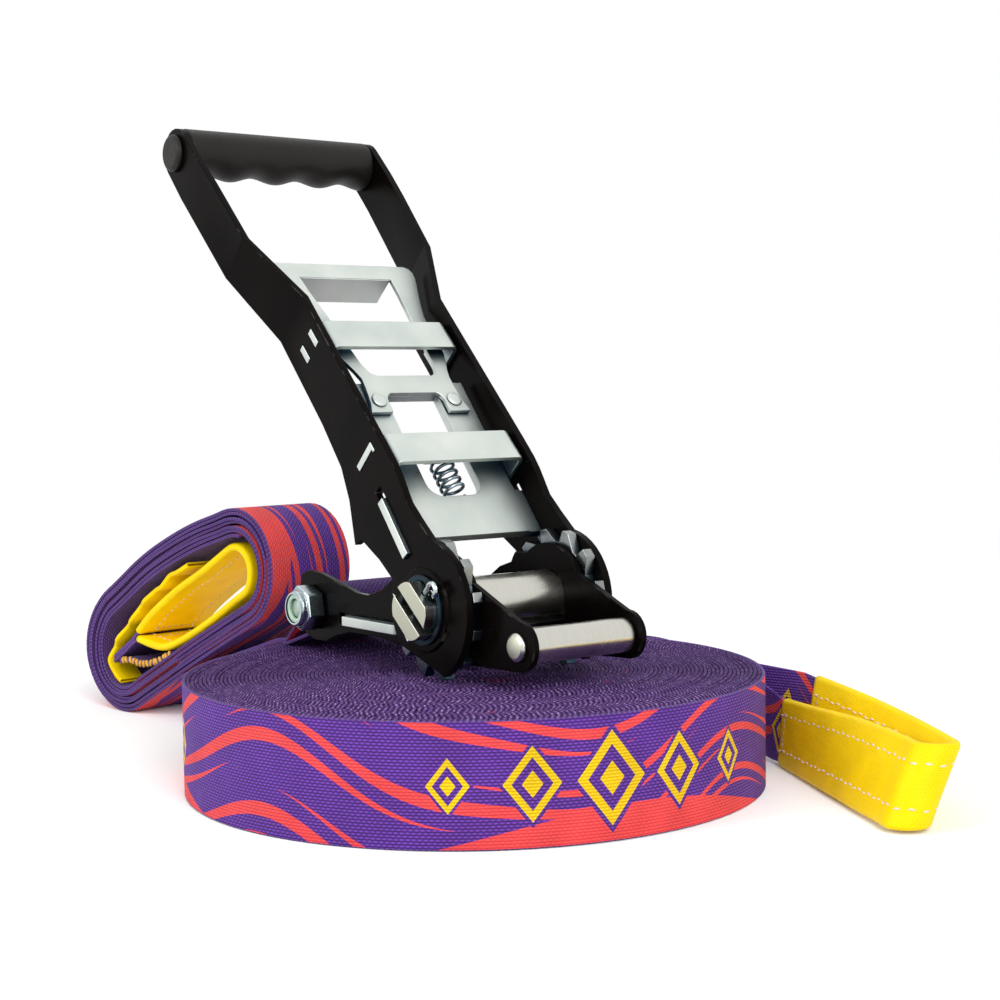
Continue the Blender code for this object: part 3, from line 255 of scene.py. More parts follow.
def frames(stations):
    """Each station as its middle, the directions across, out of and along the band, its width, and its distance
    from the start."""
    found, run = [], 0.0
    for i, (middle, across, width) in enumerate(stations):
        before, after = stations[max(i - 1, 0)][0], stations[min(i + 1, len(stations) - 1)][0]
        ahead = (after - before).normalized()
        if i:
            run += (middle - stations[i - 1][0]).length
        found.append((middle, across, ahead.cross(across).normalized(), ahead, width, run))
    return found


def length_of(stations):
    return frames(stations)[-1][5]


def band(name, stations, section, half, capped=True, printed=1):
    """A grid wrapped round the section and drawn along the stations, with lengths in metres as its UV map.
    printed is 1 where the outer side bears the print, 2 where both do, or 0. The rest of the map lies
    BACK_OFFSET aside."""
    rows = frames(stations)
    around = len(section)

    def section_point(vert):
        return section[round((vert.co.y + 1) / 2 * around) % around]

    shell = bmesh.new()
    bmesh.ops.create_grid(shell, x_segments=len(rows) - 1, y_segments=around, size=1)
    layer = shell.loops.layers.uv.new("UVMap")
    spots = {}
    for vert in shell.verts:
        side, inset, out_share = section_point(vert)
        middle, across, out, ahead, width, run = rows[round((vert.co.x + 1) / 2 * (len(rows) - 1))]
        aside = side * (width / 2 - inset)
        spots[vert] = middle + across * aside + out * half * out_share, (run, aside)
    for face in shell.faces:
        shares = [section_point(vert)[2] for vert in face.verts]
        inked = printed > 0 and min(shares) > 0 or printed > 1 and max(shares) < 0
        offset = 0.0 if inked else BACK_OFFSET
        for loop in face.loops:
            along, aside = spots[loop.vert][1]
            loop[layer].uv = along, aside + offset
    for vert, (spot, _) in spots.items():
        vert.co = spot
    bmesh.ops.remove_doubles(shell, verts=shell.verts[:], dist=1e-7)
    if capped:
        bmesh.ops.holes_fill(shell, edges=[edge for edge in shell.edges if edge.is_boundary], sides=0)
    bmesh.ops.recalc_face_normals(shell, faces=shell.faces[:])
    return finished(name, shell, 40)


def finished(name, shell, crease):
    """The bmesh as a smooth-shaded object, with hard edges where faces meet at more than crease degrees."""
    for face in shell.faces:
        face.smooth = True
    for edge in shell.edges:
        edge.smooth = not (len(edge.link_faces) == 2 and edge.calc_face_angle(0) > math.radians(crease))
    data = bpy.data.meshes.new(name)
    shell.to_mesh(data)
    shell.free()
    return linked(name, data)


def wound(first_turn, last_turn):
    """Stations round the roll, from the turn nearer the middle to the outer one, counted back from the tail.
    The edges wander on two waves that never meet alike in two turns."""
    steps = round((first_turn - last_turn) * STEPS_PER_TURN)
    stations = []
    for i in range(steps + 1):
        t = first_turn + (last_turn - first_turn) * i / steps
        angle = math.radians(TAIL_ANGLE) + math.tau * t
        radius = OUTER_RADIUS - TURN_PITCH * t
        lift = EDGE_WANDER * (math.sin(5.3 * t) + math.sin(2.9 * angle + 1.7 * t)) * min(1.0, t)
        stations.append((Vector((radius * math.cos(angle), radius * math.sin(angle), WEB_WIDTH / 2 + lift)),
                         Vector((0, 0, 1)), WEB_WIDTH - 4 * EDGE_WANDER * min(1.0, t)))
    return stations


def carried(pieces, body, node):
    """Puts pieces in a CAD node's place on a body, and hides the node."""
    for piece in pieces:
        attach(piece, body)
        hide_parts(node)


# Dyed polyester webbing, plain woven in ribs of raised dashes and screen printed. Matt, with a soft sheen.
# A real rib is about 0.8 mm and is drawn at 1.25 mm, as coarse as it needs to show.
RIB, DASH = 0.00125, 0.0023
DASH_RELIEF = 0.32
WEAVE_DEPTH = 0.00045
VIOLET_SHADE, VIOLET_LIT = "#2e155c", "#8149c0"
# The selvedges take the dye less well, and look a duller violet than the faces.
EDGE_SHADE, EDGE_LIT = "#271442", "#7350a0"
CORAL_SHADE, CORAL = "#e03c48", "#ff5c54"
YELLOW_SHADE, YELLOW = "#e8b400", "#ffe21a"
PRINT_MARGIN = 0.0242
# The stripes swing once in every SWEEP. They ripple, fan out and swell, and coral wedges rise along the lower edge,
# by waves that turn through so many radians in one SWEEP.
SWEEP, STRIPE_PITCH = 0.23, 0.0078
RIPPLES, FANS, SWELLS, WEDGES = 15, 3.7, 4.2, 5.1
FAN_SHARE, SWELL_SHARE, ROW_SHIFT = 0.3, 1.25, 1.9
WEDGE_RISE, WEDGE_LEVEL = 0.011, -0.0215
# Five diamonds of growing and falling size, each with a bare gap round it, a ring and a heart, in nine cells.
FIGURE_CELL, FIGURE_CELLS, FIGURES = 0.032, 9, 5
FIGURE_HALF_HEIGHT, FIGURE_HALF_LENGTH = 0.0185, 0.0145
FIGURE_STEP, FIGURE_GAP, FIGURE_RING, FIGURE_HEART = 0.21, 1.16, 0.70, 0.36


def weave(add, u, v, rib, dash):
    """Height of the cloth from 0 to 1: ribs along it, each a row of dashes set off from the next row's."""
    rows = add("Math DIVIDE", v, rib)
    stagger = add("Math FRACT", add("Math MULTIPLY", add("Math FLOOR", rows), 0.5))
    across = add("Math ABSOLUTE", add("Math SINE", add("Math MULTIPLY", rows, math.pi)))
    turn = add("Math MULTIPLY", add("Math ADD", add("Math DIVIDE", u, dash), stagger), math.tau)
    along = add("Math MULTIPLY_ADD", add("Math COSINE", turn), DASH_RELIEF, 1 - DASH_RELIEF)
    return add("Math MULTIPLY", across, along)


def wave(add, u, length):
    """A wave between -1 and 1 along the webbing, which repeats after tau times length."""
    return add("Math SINE", add("Math DIVIDE", u, length))


def off_middle(add, level):
    """How far a level is from the middle of its row or cell, from 0 to a half."""
    return add("Math ABSOLUTE", add("Math SUBTRACT", add("Math FRACT", level), 0.5))


def stripes(add, u, v, sweep, pitch, widest, rise, fullness):
    """1 inside swept stripes that fan out, each of which swells and then tapers to a point along the webbing."""
    swing = add("Math MULTIPLY", wave(add, u, sweep / math.tau), rise)
    drift = add("Math MULTIPLY_ADD", wave(add, u, sweep / RIPPLES), rise / 6, swing)
    fan = add("Math MULTIPLY_ADD", wave(add, u, sweep / FANS), pitch * FAN_SHARE, pitch)
    level = add("Math DIVIDE", add("Math SUBTRACT", v, drift), fan)
    phase = add("Math DIVIDE", u, sweep / SWELLS)
    phase = add("Math MULTIPLY_ADD", add("Math FLOOR", level), ROW_SHIFT, phase)
    swell = add("Math MULTIPLY", add("Math SINE", phase), widest * SWELL_SHARE)
    swell = add("Math SUBTRACT", swell, widest * -fullness)
    return add("Math LESS_THAN", off_middle(add, level), swell)


def figures(add, u, v):
    """Distance through a run of diamonds and then bare webbing: 1 on a diamond's edge, 0 at its middle."""
    place = add("Math DIVIDE", u, FIGURE_CELL)
    order = add("Math FLOORED_MODULO", add("Math FLOOR", place), float(FIGURE_CELLS))
    from_largest = add("Math ABSOLUTE", add("Math SUBTRACT", order, float(FIGURES // 2)))
    size = add("Math SUBTRACT", 1.0, add("Math MULTIPLY", from_largest, FIGURE_STEP))
    size = add("Math MULTIPLY", size, add("Math LESS_THAN", order, FIGURES - 0.5))
    size = add("Math MAXIMUM", size, 0.01)
    aside = add("Math MULTIPLY", off_middle(add, place), FIGURE_CELL / FIGURE_HALF_LENGTH)
    height = add("Math DIVIDE", add("Math ABSOLUTE", v), FIGURE_HALF_HEIGHT)
    return add("Math DIVIDE", add("Math ADD", aside, height), size)


def webbing_material(name, sweep, pitch, widest, rise, fullness, with_figures):
    """Printed webbing on a UV map in metres: u runs along the webbing and v across it, 0 in its middle.
    Its clouds are about 18 mm across."""
    made, add, place = new_material(name)
    spot = add("SeparateXYZ", add("UVMap", uv_map="UVMap"))
    u, v = spot.outputs["X"], spot.outputs["Y"]
    height = weave(add, u, v, RIB, DASH)
    # The weave's hollows are painted in the shade colour and its raised dashes in the lit one.
    dyed_and_shaded = add("MixRGB", height, VIOLET_SHADE, VIOLET_LIT)
    edge = add("MixRGB", height, EDGE_SHADE, EDGE_LIT)
    inside = add("Math LESS_THAN", add("Math ABSOLUTE", v), PRINT_MARGIN)
    dyed_and_shaded = add("MixRGB", inside, edge, dyed_and_shaded)
    wedge = add("Math MULTIPLY_ADD", wave(add, u, sweep / WEDGES), WEDGE_RISE, WEDGE_LEVEL)
    wedge = add("Math LESS_THAN", v, wedge)
    coral = add("Math MAXIMUM", stripes(add, u, v, sweep, pitch, widest, rise, fullness), wedge)
    coral = add("Math MULTIPLY", coral, inside)
    if with_figures:
        reach = figures(add, u, v)
        coral = add("Math MULTIPLY", coral, add("Math GREATER_THAN", reach, FIGURE_GAP))
    # The ink is painted the same way, darker in the weave's hollows as shade.
    inked = add("MixRGB", height, CORAL_SHADE, CORAL)
    dyed_and_shaded = add("MixRGB", coral, dyed_and_shaded, inked)
    if with_figures:
        ring = add("Math MULTIPLY", add("Math GREATER_THAN", reach, FIGURE_RING),
                   add("Math LESS_THAN", reach, 1.0))
        yellow = add("Math MAXIMUM", ring, add("Math LESS_THAN", reach, FIGURE_HEART))
        inked = add("MixRGB", height, YELLOW_SHADE, YELLOW)
        dyed_and_shaded = add("MixRGB", yellow, dyed_and_shaded, inked)
    clouds = add("TexNoise", place, Scale=55.0, Detail=3.0)
    uneven = add("MapRange", clouds, 0.3, 0.7, 0.86, 1.08)
    dyed_and_shaded = add("MixRGB", 1.0, dyed_and_shaded, uneven, blend_type="MULTIPLY")
    bump = add("Bump", Strength=1.0, Distance=WEAVE_DEPTH, Height=height)
    shader = add("BsdfPrincipled", Base_Color=dyed_and_shaded, Roughness=0.75, Specular_IOR_Level=0.2, Normal=bump,
                 Sheen_Weight=0.06, Sheen_Roughness=0.5)
    add("OutputMaterial", shader)
    return made


printed_webbing = webbing_material("screen printed violet webbing", SWEEP, STRIPE_PITCH, widest=0.17, rise=0.018,
                                   fullness=0.45, with_figures=True)

tail_start = [(x, y, WEB_WIDTH / 2, 0, WEB_WIDTH) for x, y in arc((0, 0), OUTER_RADIUS, TAIL_LEAVES, TAIL_ANGLE, 3)]
bend = [(x, y, *EYE_BEND_ROW) for x, y in arc(EYE_BEND, EYE_BEND_RADIUS, -18, -194, 6)]
eye_rows = smoothed(EYE_BACK_ROUTE + bend + EYE_FRONT_ROUTE)
narrow_eye = [(*row[:4], row[4] - EYE_NARROWER) for row in eye_rows]
outer_stations = (wound(PRINTED_TURNS, (TAIL_LEAVES - TAIL_ANGLE) / 360)[:-1]
                  + upright(smoothed(tail_start + TAIL_ROUTE) + narrow_eye + smoothed(LAP_ROUTE)))
outer_web = band("line_webbing_outer_turn", outer_stations, WEB_SECTION, WEB_HALF, printed=2)
outer_web.data.materials.append(printed_webbing)
outer_length = length_of(outer_stations)

# The same webbing seen on its edges: looped wefts that stand side by side like beads, painted dark between them as
# shade and lighter at their tips as light, with a pale painted highlight every 1.6 mm or so, and here and there a
# faint reddish patch.
BEAD_SHARE, BEAD_DEPTH = 0.66, 0.0006
edge_webbing, add, place = new_material("webbing edges wound on edge")
along = add("SeparateXYZ", add("UVMap", uv_map="UVMap")).outputs["X"]
speckle = add("TexNoise", place, Scale=620.0, Detail=3.0)
uneven = add("TexNoise", place, Scale=260.0, Detail=2.0)
turn = add("Math MULTIPLY_ADD", uneven, 5.0, add("Math DIVIDE", along, DASH / math.tau))
beads = add("Math MULTIPLY_ADD", add("Math SINE", turn), 0.5, 0.5)
grain = add("MapRange", speckle, 0.34, 0.66)
height = add("Math MULTIPLY_ADD", beads, BEAD_SHARE, add("Math MULTIPLY", grain, 1 - BEAD_SHARE))
# Painted shade: dark where the beads part, lighter on their tops.
dyed_and_shaded = add("MixRGB", height, "#0b0512", "#725097")
# Painted highlight on the tips of the beads.
painted_highlight = add("MapRange", height, 0.80, 1.0)
dyed_and_shaded = add("MixRGB", painted_highlight, dyed_and_shaded, "#b39ac9")
patch = add("TexNoise", place, Scale=38.0, Detail=4.0)
patch = add("MapRange", patch, 0.66, 0.72)
dyed_and_shaded = add("MixRGB", add("Math MULTIPLY", patch, 0.55), dyed_and_shaded, "#b03a55")
bump = add("Bump", Strength=1.0, Distance=BEAD_DEPTH, Height=height)
shader = add("BsdfPrincipled", Base_Color=dyed_and_shaded, Roughness=0.85, Specular_IOR_Level=0.1, Normal=bump)
add("OutputMaterial", shader)

inner_stations = wound((OUTER_RADIUS - INNER_RADIUS) / TURN_PITCH, PRINTED_TURNS)
inner_web = band("line_webbing_wound_turns", inner_stations, WEB_SECTION, WEB_HALF)
inner_web.data.materials.append(edge_webbing)
carried((outer_web, inner_web), "line", "line_webbing")
length_of(inner_stations)


# The line's end sleeve. A flat tube of yellow woven polyester drawn over the folded webbing where it turns back
# to make the end eye. It is sewn along both edges, and across at its two ends.
SLEEVE_HALF = 0.0021
SLEEVE_CLOTH = 0.0006
SLEEVE_RIB, SLEEVE_DASH = 0.0010, 0.0016
STITCH_LENGTH, STITCH_PITCH = 0.0036, 0.0049
STITCH_HALF_WIDTH, STITCH_HALF_HEIGHT = 0.00052, 0.00040
STITCH_SKEW, STITCH_STRAY = 0.07, 0.00025
STITCH_LINES = (-0.52, 0.52)


def sleeve_section(half):
    """A flat tube's section with round folds at both edges and a slight hollow along its middle."""
    folds = []
    for side in (1, -1):
        for step in range(7):
            angle = math.radians(-90 + 30 * step) * side
            folds.append((side, half * (1 - math.cos(angle)), math.sin(angle)))
        folds.append((side * 0.35, 0, 0.90 * side))
    return folds


# Dyed woven polyester tube, bright and satiny, in fine ribs along it, with soft wrinkles about 14 mm apart.
woven_sleeve, add, place = new_material("yellow woven sleeve")
spot = add("SeparateXYZ", add("UVMap", uv_map="UVMap"))
height = weave(add, spot.outputs["X"], spot.outputs["Y"], SLEEVE_RIB, SLEEVE_DASH)
clouds = add("TexNoise", place, Scale=70.0, Detail=4.0)
# The ribs' hollows are painted a deeper yellow, as shade, and their tops lighter.
dyed_and_shaded = add("MixRGB", height, "#ffd200", "#ffe600")
uneven = add("MapRange", clouds, 0.3, 0.7, 0.93, 1.05)
dyed_and_shaded = add("MixRGB", 1.0, dyed_and_shaded, uneven, blend_type="MULTIPLY")
wrinkles = add("Math MULTIPLY_ADD", clouds, 2.0, add("Math MULTIPLY", height, 0.16))
bump = add("Bump", Strength=0.8, Distance=0.0007, Height=wrinkles)
shader = add("BsdfPrincipled", Base_Color=dyed_and_shaded, Roughness=0.5, Specular_IOR_Level=0.14, Normal=bump)
add("OutputMaterial", shader)

# Waxed polyester sewing thread: off-white with a warm tint, in a slanting twist.
pale_thread, add, place = new_material("waxed sewing thread")
twist = add("TexWave", place, wave_type="BANDS", bands_direction="DIAGONAL", Scale=900.0)
strand = add("MixRGB", twist.outputs["Fac"], "#d9b9a8", "#fff1e6")
add("OutputMaterial", add("BsdfPrincipled", Base_Color=strand, Roughness=0.55))


def bead(shell, centre, half_axes, subdivisions):
    """Adds one visible loop of thread, a ball stretched to its three half axes."""
    made = bmesh.ops.create_icosphere(shell, subdivisions=subdivisions, radius=1)["verts"]
    shape = Matrix(half_axes).transposed().to_4x4()
    bmesh.ops.transform(shell, matrix=Matrix.Translation(centre) @ shape, verts=made)


def sewn(name, shell, thread):
    bmesh.ops.recalc_face_normals(shell, faces=shell.faces[:])
    made = finished(name, shell, 180)
    made.data.materials.append(thread)
    return made


def stitches(name, rows, half):
    """Raised thread stitches in two lines along the band and across its ends, on both of its faces."""
    shell = bmesh.new()
    for share in STITCH_LINES:
        for face_side in (-1, 1):
            next_at = STITCH_PITCH * 0.6
            count = 0
            for (middle, across, out, ahead, width, run), following in zip(rows, rows[1:]):
                while next_at < following[5]:
                    t = (next_at - run) / (following[5] - run)
                    turned = (ahead + across * (STITCH_SKEW * (-1) ** count)).normalized()
                    aside = across * (share * width / 2 + STITCH_STRAY * (-1) ** count)
                    centre = middle.lerp(following[0], t) + aside + out * (half * face_side)
                    bead(shell, centre, (turned * STITCH_LENGTH / 2, turned.cross(out) * STITCH_HALF_WIDTH,
                                         out * STITCH_HALF_HEIGHT), 1)
                    next_at += STITCH_PITCH
                    count += 1
            for middle, across, out, ahead, width, run in (rows[2], rows[-3]):
                for step in range(-3, 4):
                    centre = middle + across * (step / 3 * STITCH_LINES[1] * width / 2) + out * (half * face_side)
                    bead(shell, centre, (across * STITCH_LENGTH * 0.42, across.cross(out) * STITCH_HALF_WIDTH,
                                         out * STITCH_HALF_HEIGHT), 1)
    return sewn(name, shell, pale_thread)


def tube(name, stations, half):
    """A flat tube of the sleeve's cloth along the stations, with the cloth's thickness inwards."""
    made = band(name, stations, sleeve_section(half), half, capped=False)
    wall = made.modifiers.new("cloth", "SOLIDIFY")
    wall.thickness = SLEEVE_CLOTH
    wall.offset = -1
    made.data.materials.append(woven_sleeve)
    return made


def sleeve(name, stations, node, body):
    """The tube with its stitching."""
    made = tube(name, stations, SLEEVE_HALF)
    stitching = stitches(name + "_stitching", frames(stations), SLEEVE_HALF * 0.93)
    carried((made, stitching), body, node)
    return made, stitching


eye_stations = upright(eye_rows)
line_sleeve, line_stitching = sleeve("line_sleeve", eye_stations, "line_loop_sleeve", "line")
length_of(eye_stations)


# The anchor strap. The same webbing: an eye round the anchor bolt's spacer, a run down over the roll's rim,
# seven loose turns lying on the floor, and at its inner end a sleeved eye.
STRAP_WIDTH = 0.0496
STRAP_HALF = 0.00075
STRAP_TURNS = 7
STRAP_WALL = 0.0145
STRAP_TURN = math.radians(7.0)
STRAP_PLACE = Vector((-0.0044, 0.129, 0))
STRAP_NEAR, STRAP_NEAR_RADIUS = (0.0340, 0.0852), 0.0317
STRAP_FAR, STRAP_FAR_RADIUS = (0.1418, 0.0358), 0.0355
STRAP_JOINS_SHARE = 0.62
STEPS_PER_STRAP_TURN, STEPS_BEFORE_JOIN, STEPS_LEFT_OUT = 96, 6, 30
TURN_SLACK, TURN_SHIFT = 0.00035, 0.0007
# The strap's lap and its eye round the spacer lie in the plane of y and z.
STRAP_LAP = [(0.1275, 0.0506), (0.1240, 0.0505)]
BOLT_EYE, BOLT_EYE_RADIUS = (0.0864, 0.0724), 0.0102
# A row of the run is its middle, and how far its width turns, in degrees.
STRAP_RUN = [((-0.0002, 0.1240, 0.0521), 0), ((-0.0006, 0.1320, 0.0516), 0), ((-0.0040, 0.1460, 0.0470), 2),
             ((-0.0080, 0.1660, 0.0409), 4), ((-0.0112, 0.1840, 0.0353), 6), ((-0.0134, 0.1990, 0.0305), 7),
             ((-0.0149, 0.2120, 0.0258), 7)]
# How far the slack turns belly out, by share of the way along the upper straight from the far end.
STRAP_BELLY = smoothed([(-0.66, 0.0), (-0.52, 0.0010), (-0.40, 0.0014), (-0.296, 0.0), (-0.20, -0.0016),
                        (-0.10, -0.0026), (0.0, -0.0020), (0.134, 0.0), (0.276, 0.0024), (0.437, 0.0038),
                        (0.635, 0.0037), (0.806, 0.0024), (1.01, -0.0006), (1.17, -0.0005), (1.30, 0.0)], 5)


def hull_point(share, inset):
    """A point of the band stretched round the roll's two ends. share 0 is where the run joins it from below,
    and it grows round the far end, back along the top and round the near end."""
    near, far = Vector(STRAP_NEAR), Vector(STRAP_FAR)
    near_radius, far_radius = STRAP_NEAR_RADIUS - inset, STRAP_FAR_RADIUS - inset
    apart = far - near
    heading = math.atan2(apart.y, apart.x)
    slant = math.asin((near_radius - far_radius) / apart.length)
    straight = apart.length * math.cos(slant)
    far_arc, near_arc = far_radius * (math.pi - 2 * slant), near_radius * (math.pi + 2 * slant)
    whole = 2 * straight + far_arc + near_arc
    run = (share % 1.0) * whole + straight * STRAP_JOINS_SHARE
    low, high = heading - math.pi / 2 + slant, heading + math.pi / 2 - slant
    if run > whole:
        run -= whole
    if run < straight:
        angle, t = low, run / straight
        middle = near.lerp(far, t)
        radius = near_radius + (far_radius - near_radius) * t
    elif run < straight + far_arc:
        middle, radius = far, far_radius
        angle = low + (high - low) * (run - straight) / far_arc
    elif run < 2 * straight + far_arc:
        t = (run - straight - far_arc) / straight
        angle, middle = high, far.lerp(near, t)
        radius = far_radius + (near_radius - far_radius) * t
    else:
        middle, radius = near, near_radius
        angle = high + (math.tau - (high - low)) * (run - 2 * straight - far_arc) / near_arc
    upper = (run - straight - far_arc) / straight
    for (start, low_out), (end, high_out) in zip(STRAP_BELLY, STRAP_BELLY[1:]):
        if start <= upper < end:
            radius += low_out + (high_out - low_out) * (upper - start) / (end - start)
    return middle + Vector((math.cos(angle), math.sin(angle))) * radius


def strap_station(along, level, width=STRAP_WIDTH, aside=0.0):
    """A station from the strap roll's own plane, turned and put in its place behind the line."""
    turn = Matrix.Rotation(STRAP_TURN, 3, "Z")
    return STRAP_PLACE + turn @ Vector((aside, along, level)), turn @ Vector((1, 0, 0)), width


strap_stations = [(Vector((0, y, z)), Vector((1, 0, 0)), STRAP_WIDTH)
                  for y, z in STRAP_LAP + arc(BOLT_EYE, BOLT_EYE_RADIUS, 233, 40, 22)]
for place, degrees in STRAP_RUN:
    angle = math.radians(degrees)
    strap_stations.append((Vector(place), Vector((math.cos(angle), math.sin(angle), 0)), STRAP_WIDTH))
layer_pitch = (STRAP_WALL - STRAP_HALF * 2) / (STRAP_TURNS - 1)
for i in range(STEPS_BEFORE_JOIN, STRAP_TURNS * STEPS_PER_STRAP_TURN - STEPS_LEFT_OUT):
    turns = i / STEPS_PER_STRAP_TURN
    whole, part = divmod(turns, 1.0)
    # Each turn steps in under the next one over its last quarter or so, and lies a little loose.
    step_in = min(max((part - 0.72) / 0.28, 0.0), 1.0)
    inset = STRAP_HALF + layer_pitch * (whole + step_in * step_in * (3 - 2 * step_in))
    inset += TURN_SLACK * math.sin(turns * 9.4 + 1.3) * math.sin(turns * math.pi / STRAP_TURNS)
    spot = hull_point(turns, max(inset, STRAP_HALF))
    aside = TURN_SHIFT * math.sin(2.3 * whole + 1.0) * (1 if 0 < whole < STRAP_TURNS - 1 else 0)
    strap_stations.append(strap_station(spot.x, spot.y, STRAP_WIDTH, aside))
strap_web = band("anchor_strap_webbing", strap_stations, WEB_SECTION, STRAP_HALF)
# The same dyed webbing with the stripes alone: broader, closer and nearly straight, which reads as bold bands.
strap_print = webbing_material("screen printed violet strap", sweep=0.19, pitch=0.0068, widest=0.20, rise=0.004,
                               fullness=0.75, with_figures=False)
strap_web.data.materials.append(strap_print)

# The inner eye in its sleeve. A point is its distance along the strap roll's plane, and its level.
EYE_TOP = [(0.1300, 0.0452), (0.1160, 0.0560), (0.0920, 0.0700), (0.0700, 0.0805), (0.0540, 0.0890)]
EYE_RETURN = [(0.0420, 0.0670), (0.0620, 0.0560), (0.0880, 0.0440), (0.1080, 0.0385), (0.1300, 0.0409)]
eye_line = smoothed(EYE_TOP + arc((0.0380, 0.0834), 0.0125, 60, 238, 8) + EYE_RETURN)
inner_eye = [strap_station(along, level, STRAP_WIDTH * 0.9) for along, level in eye_line]
strap_sleeve, strap_stitching = sleeve("strap_sleeve", inner_eye, "strap_loop_sleeve", "ratchet_frame")

# The sleeve's end, pushed back into a puckered cuff. A row is its distance along, its level, and its shift aside.
CUFF_WIDTH, CUFF_HALF = 0.016, 0.0013
CUFF_ROUTE = [(0.1470, 0.0160, 0), (0.1545, 0.0190, 0.0010), (0.1572, 0.0270, -0.0008), (0.1540, 0.0345, 0.0014),
              (0.1475, 0.0400, -0.0012), (0.1410, 0.0468, 0.0016), (0.1335, 0.0515, -0.0010),
              (0.1275, 0.0590, 0.0018), (0.1195, 0.0628, -0.0014), (0.1120, 0.0690, 0.0016),
              (0.1040, 0.0712, -0.0008), (0.0985, 0.0775, 0.0012), (0.0890, 0.0800, -0.0006), (0.0790, 0.0845, 0)]
cuff_stations = [strap_station(along, level, CUFF_WIDTH, aside - (STRAP_WIDTH * 0.92 - CUFF_WIDTH) / 2)
                 for along, level, aside in smoothed(CUFF_ROUTE)]
cuff = tube("strap_sleeve_cuff", cuff_stations, CUFF_HALF)
carried([cuff], "ratchet_frame", "strap_loop_sleeve")

# The bare webbing past the sleeve: the neck where the two layers meet, the layer that returns, and the sewn end.
PLAIN_WEBS = [
    ("strap_eye_neck", 0.0010,
     [(0.1240, 0.0500), (0.1300, 0.0452), (0.1380, 0.0392), (0.1470, 0.0338), (0.1600, 0.0262)]),
    ("strap_eye_return", 0.0009,
     [(0.1220, 0.0399), (0.1300, 0.0409), (0.1370, 0.0376), (0.1450, 0.0326), (0.1560, 0.0262)]),
    ("strap_eye_end", 0.0014,
     [(0.1500, 0.0268), (0.1400, 0.0285), (0.1270, 0.0275), (0.1130, 0.0302), (0.0990, 0.0358)])]
plain_webs = []
for name, half, route in PLAIN_WEBS:
    web_stations = [strap_station(along, level, STRAP_WIDTH * 0.84) for along, level in smoothed(route, 8)]
    plain_webs.append(band(name, web_stations, WEB_SECTION, half, printed=0))
    plain_webs[-1].data.materials.append(strap_print)

# The eye's end is overcast: thick yellow thread laid over its edges, side by side. The thread is waxed and spun, in
# lighter and darker fibres.
OVERCAST_PITCH = 0.0034
OVERCAST_HALF_AXES = (0.00085, 0.0021, 0.0012)
OVERCAST_SLANT = 0.35
yellow_thread, add, place = new_material("waxed yellow thread")
fibres = add("TexNoise", place, Scale=900.0)
strand = add("MixRGB", fibres, "#c88a1c", "#f2c04a")
add("OutputMaterial", add("BsdfPrincipled", Base_Color=strand, Roughness=0.55))
shell = bmesh.new()
next_at = OVERCAST_PITCH
for middle, across, out, ahead, width, run in frames(web_stations):
    if run < next_at:
        continue
    next_at += OVERCAST_PITCH
    slant = (ahead + out * OVERCAST_SLANT * math.sin(run * 2900)).normalized()
    half_axes = [axis * reach for axis, reach in zip((slant, slant.cross(across), across), OVERCAST_HALF_AXES)]
    for side in (-1, 1):
        bead(shell, middle + across * (side * width / 2), half_axes, 2)
overcast = sewn("strap_eye_overcasting", shell, yellow_thread)

carried((strap_web, *plain_webs, overcast), "ratchet_frame", "anchor_strap")
length_of(strap_stations)
length_of(inner_eye)


# The ratchet's frame plates. Two plates of 3 mm steel, each blanked with a flare for the anchor bolt and an ear
# for the roller, then dipped in black enamel, which pulls thin over the edges.
PLATE_EASE = 0.0004


def joined(node):
    """A copy of a CAD node's mesh, with its loose triangles joined up into whole faces."""
    data = frame["nodes"][node].data.copy()
    if "custom_normal" in data.attributes:
        data.attributes.remove(data.attributes["custom_normal"])
    shell = bmesh.new()
    shell.from_mesh(data)
    bpy.data.meshes.remove(data)
    bmesh.ops.remove_doubles(shell, verts=shell.verts[:], dist=1e-5)
    bmesh.ops.dissolve_limit(shell, angle_limit=math.radians(0.5), verts=shell.verts[:], edges=shell.edges[:])
    return shell


def rounded(shell, name, ease, limit=True, sharp_from=28):
    """Finishes a bmesh with its sharp edges eased to a radius, and with level shading on its flat faces.
    The eased faces are marked as worn, for a finish that rubs through there."""
    worn = shell.faces.layers.float.new("worn")
    sharp = [edge for edge in shell.edges
             if len(edge.link_faces) == 2 and edge.calc_face_angle(0) > math.radians(sharp_from)]
    made = bmesh.ops.bevel(shell, geom=sharp, offset=ease, offset_type="OFFSET", affect="EDGES", segments=2,
                           profile=0.5, material=-1, clamp_overlap=limit)
    for face in made["faces"]:
        face[worn] = 1.0
    piece = finished(name, shell, 50)
    level = piece.modifiers.new("level shading", "WEIGHTED_NORMAL")
    level.keep_sharp = True
    return piece


def fitted(piece, node, material):
    """Puts a piece in a CAD node's place, with its finish, on the node's own body."""
    piece.data.materials.append(material)
    carried([piece], frame["nodes"][node]["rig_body"], node)
    return piece


def dressed(nodes, word, material, ease, limit=True):
    """Pieces in the CAD nodes' own shapes, with their edges eased and their finish on."""
    for node in nodes.split():
        fitted(rounded(joined(node), f"{node}_{word}", ease, limit), node, material)


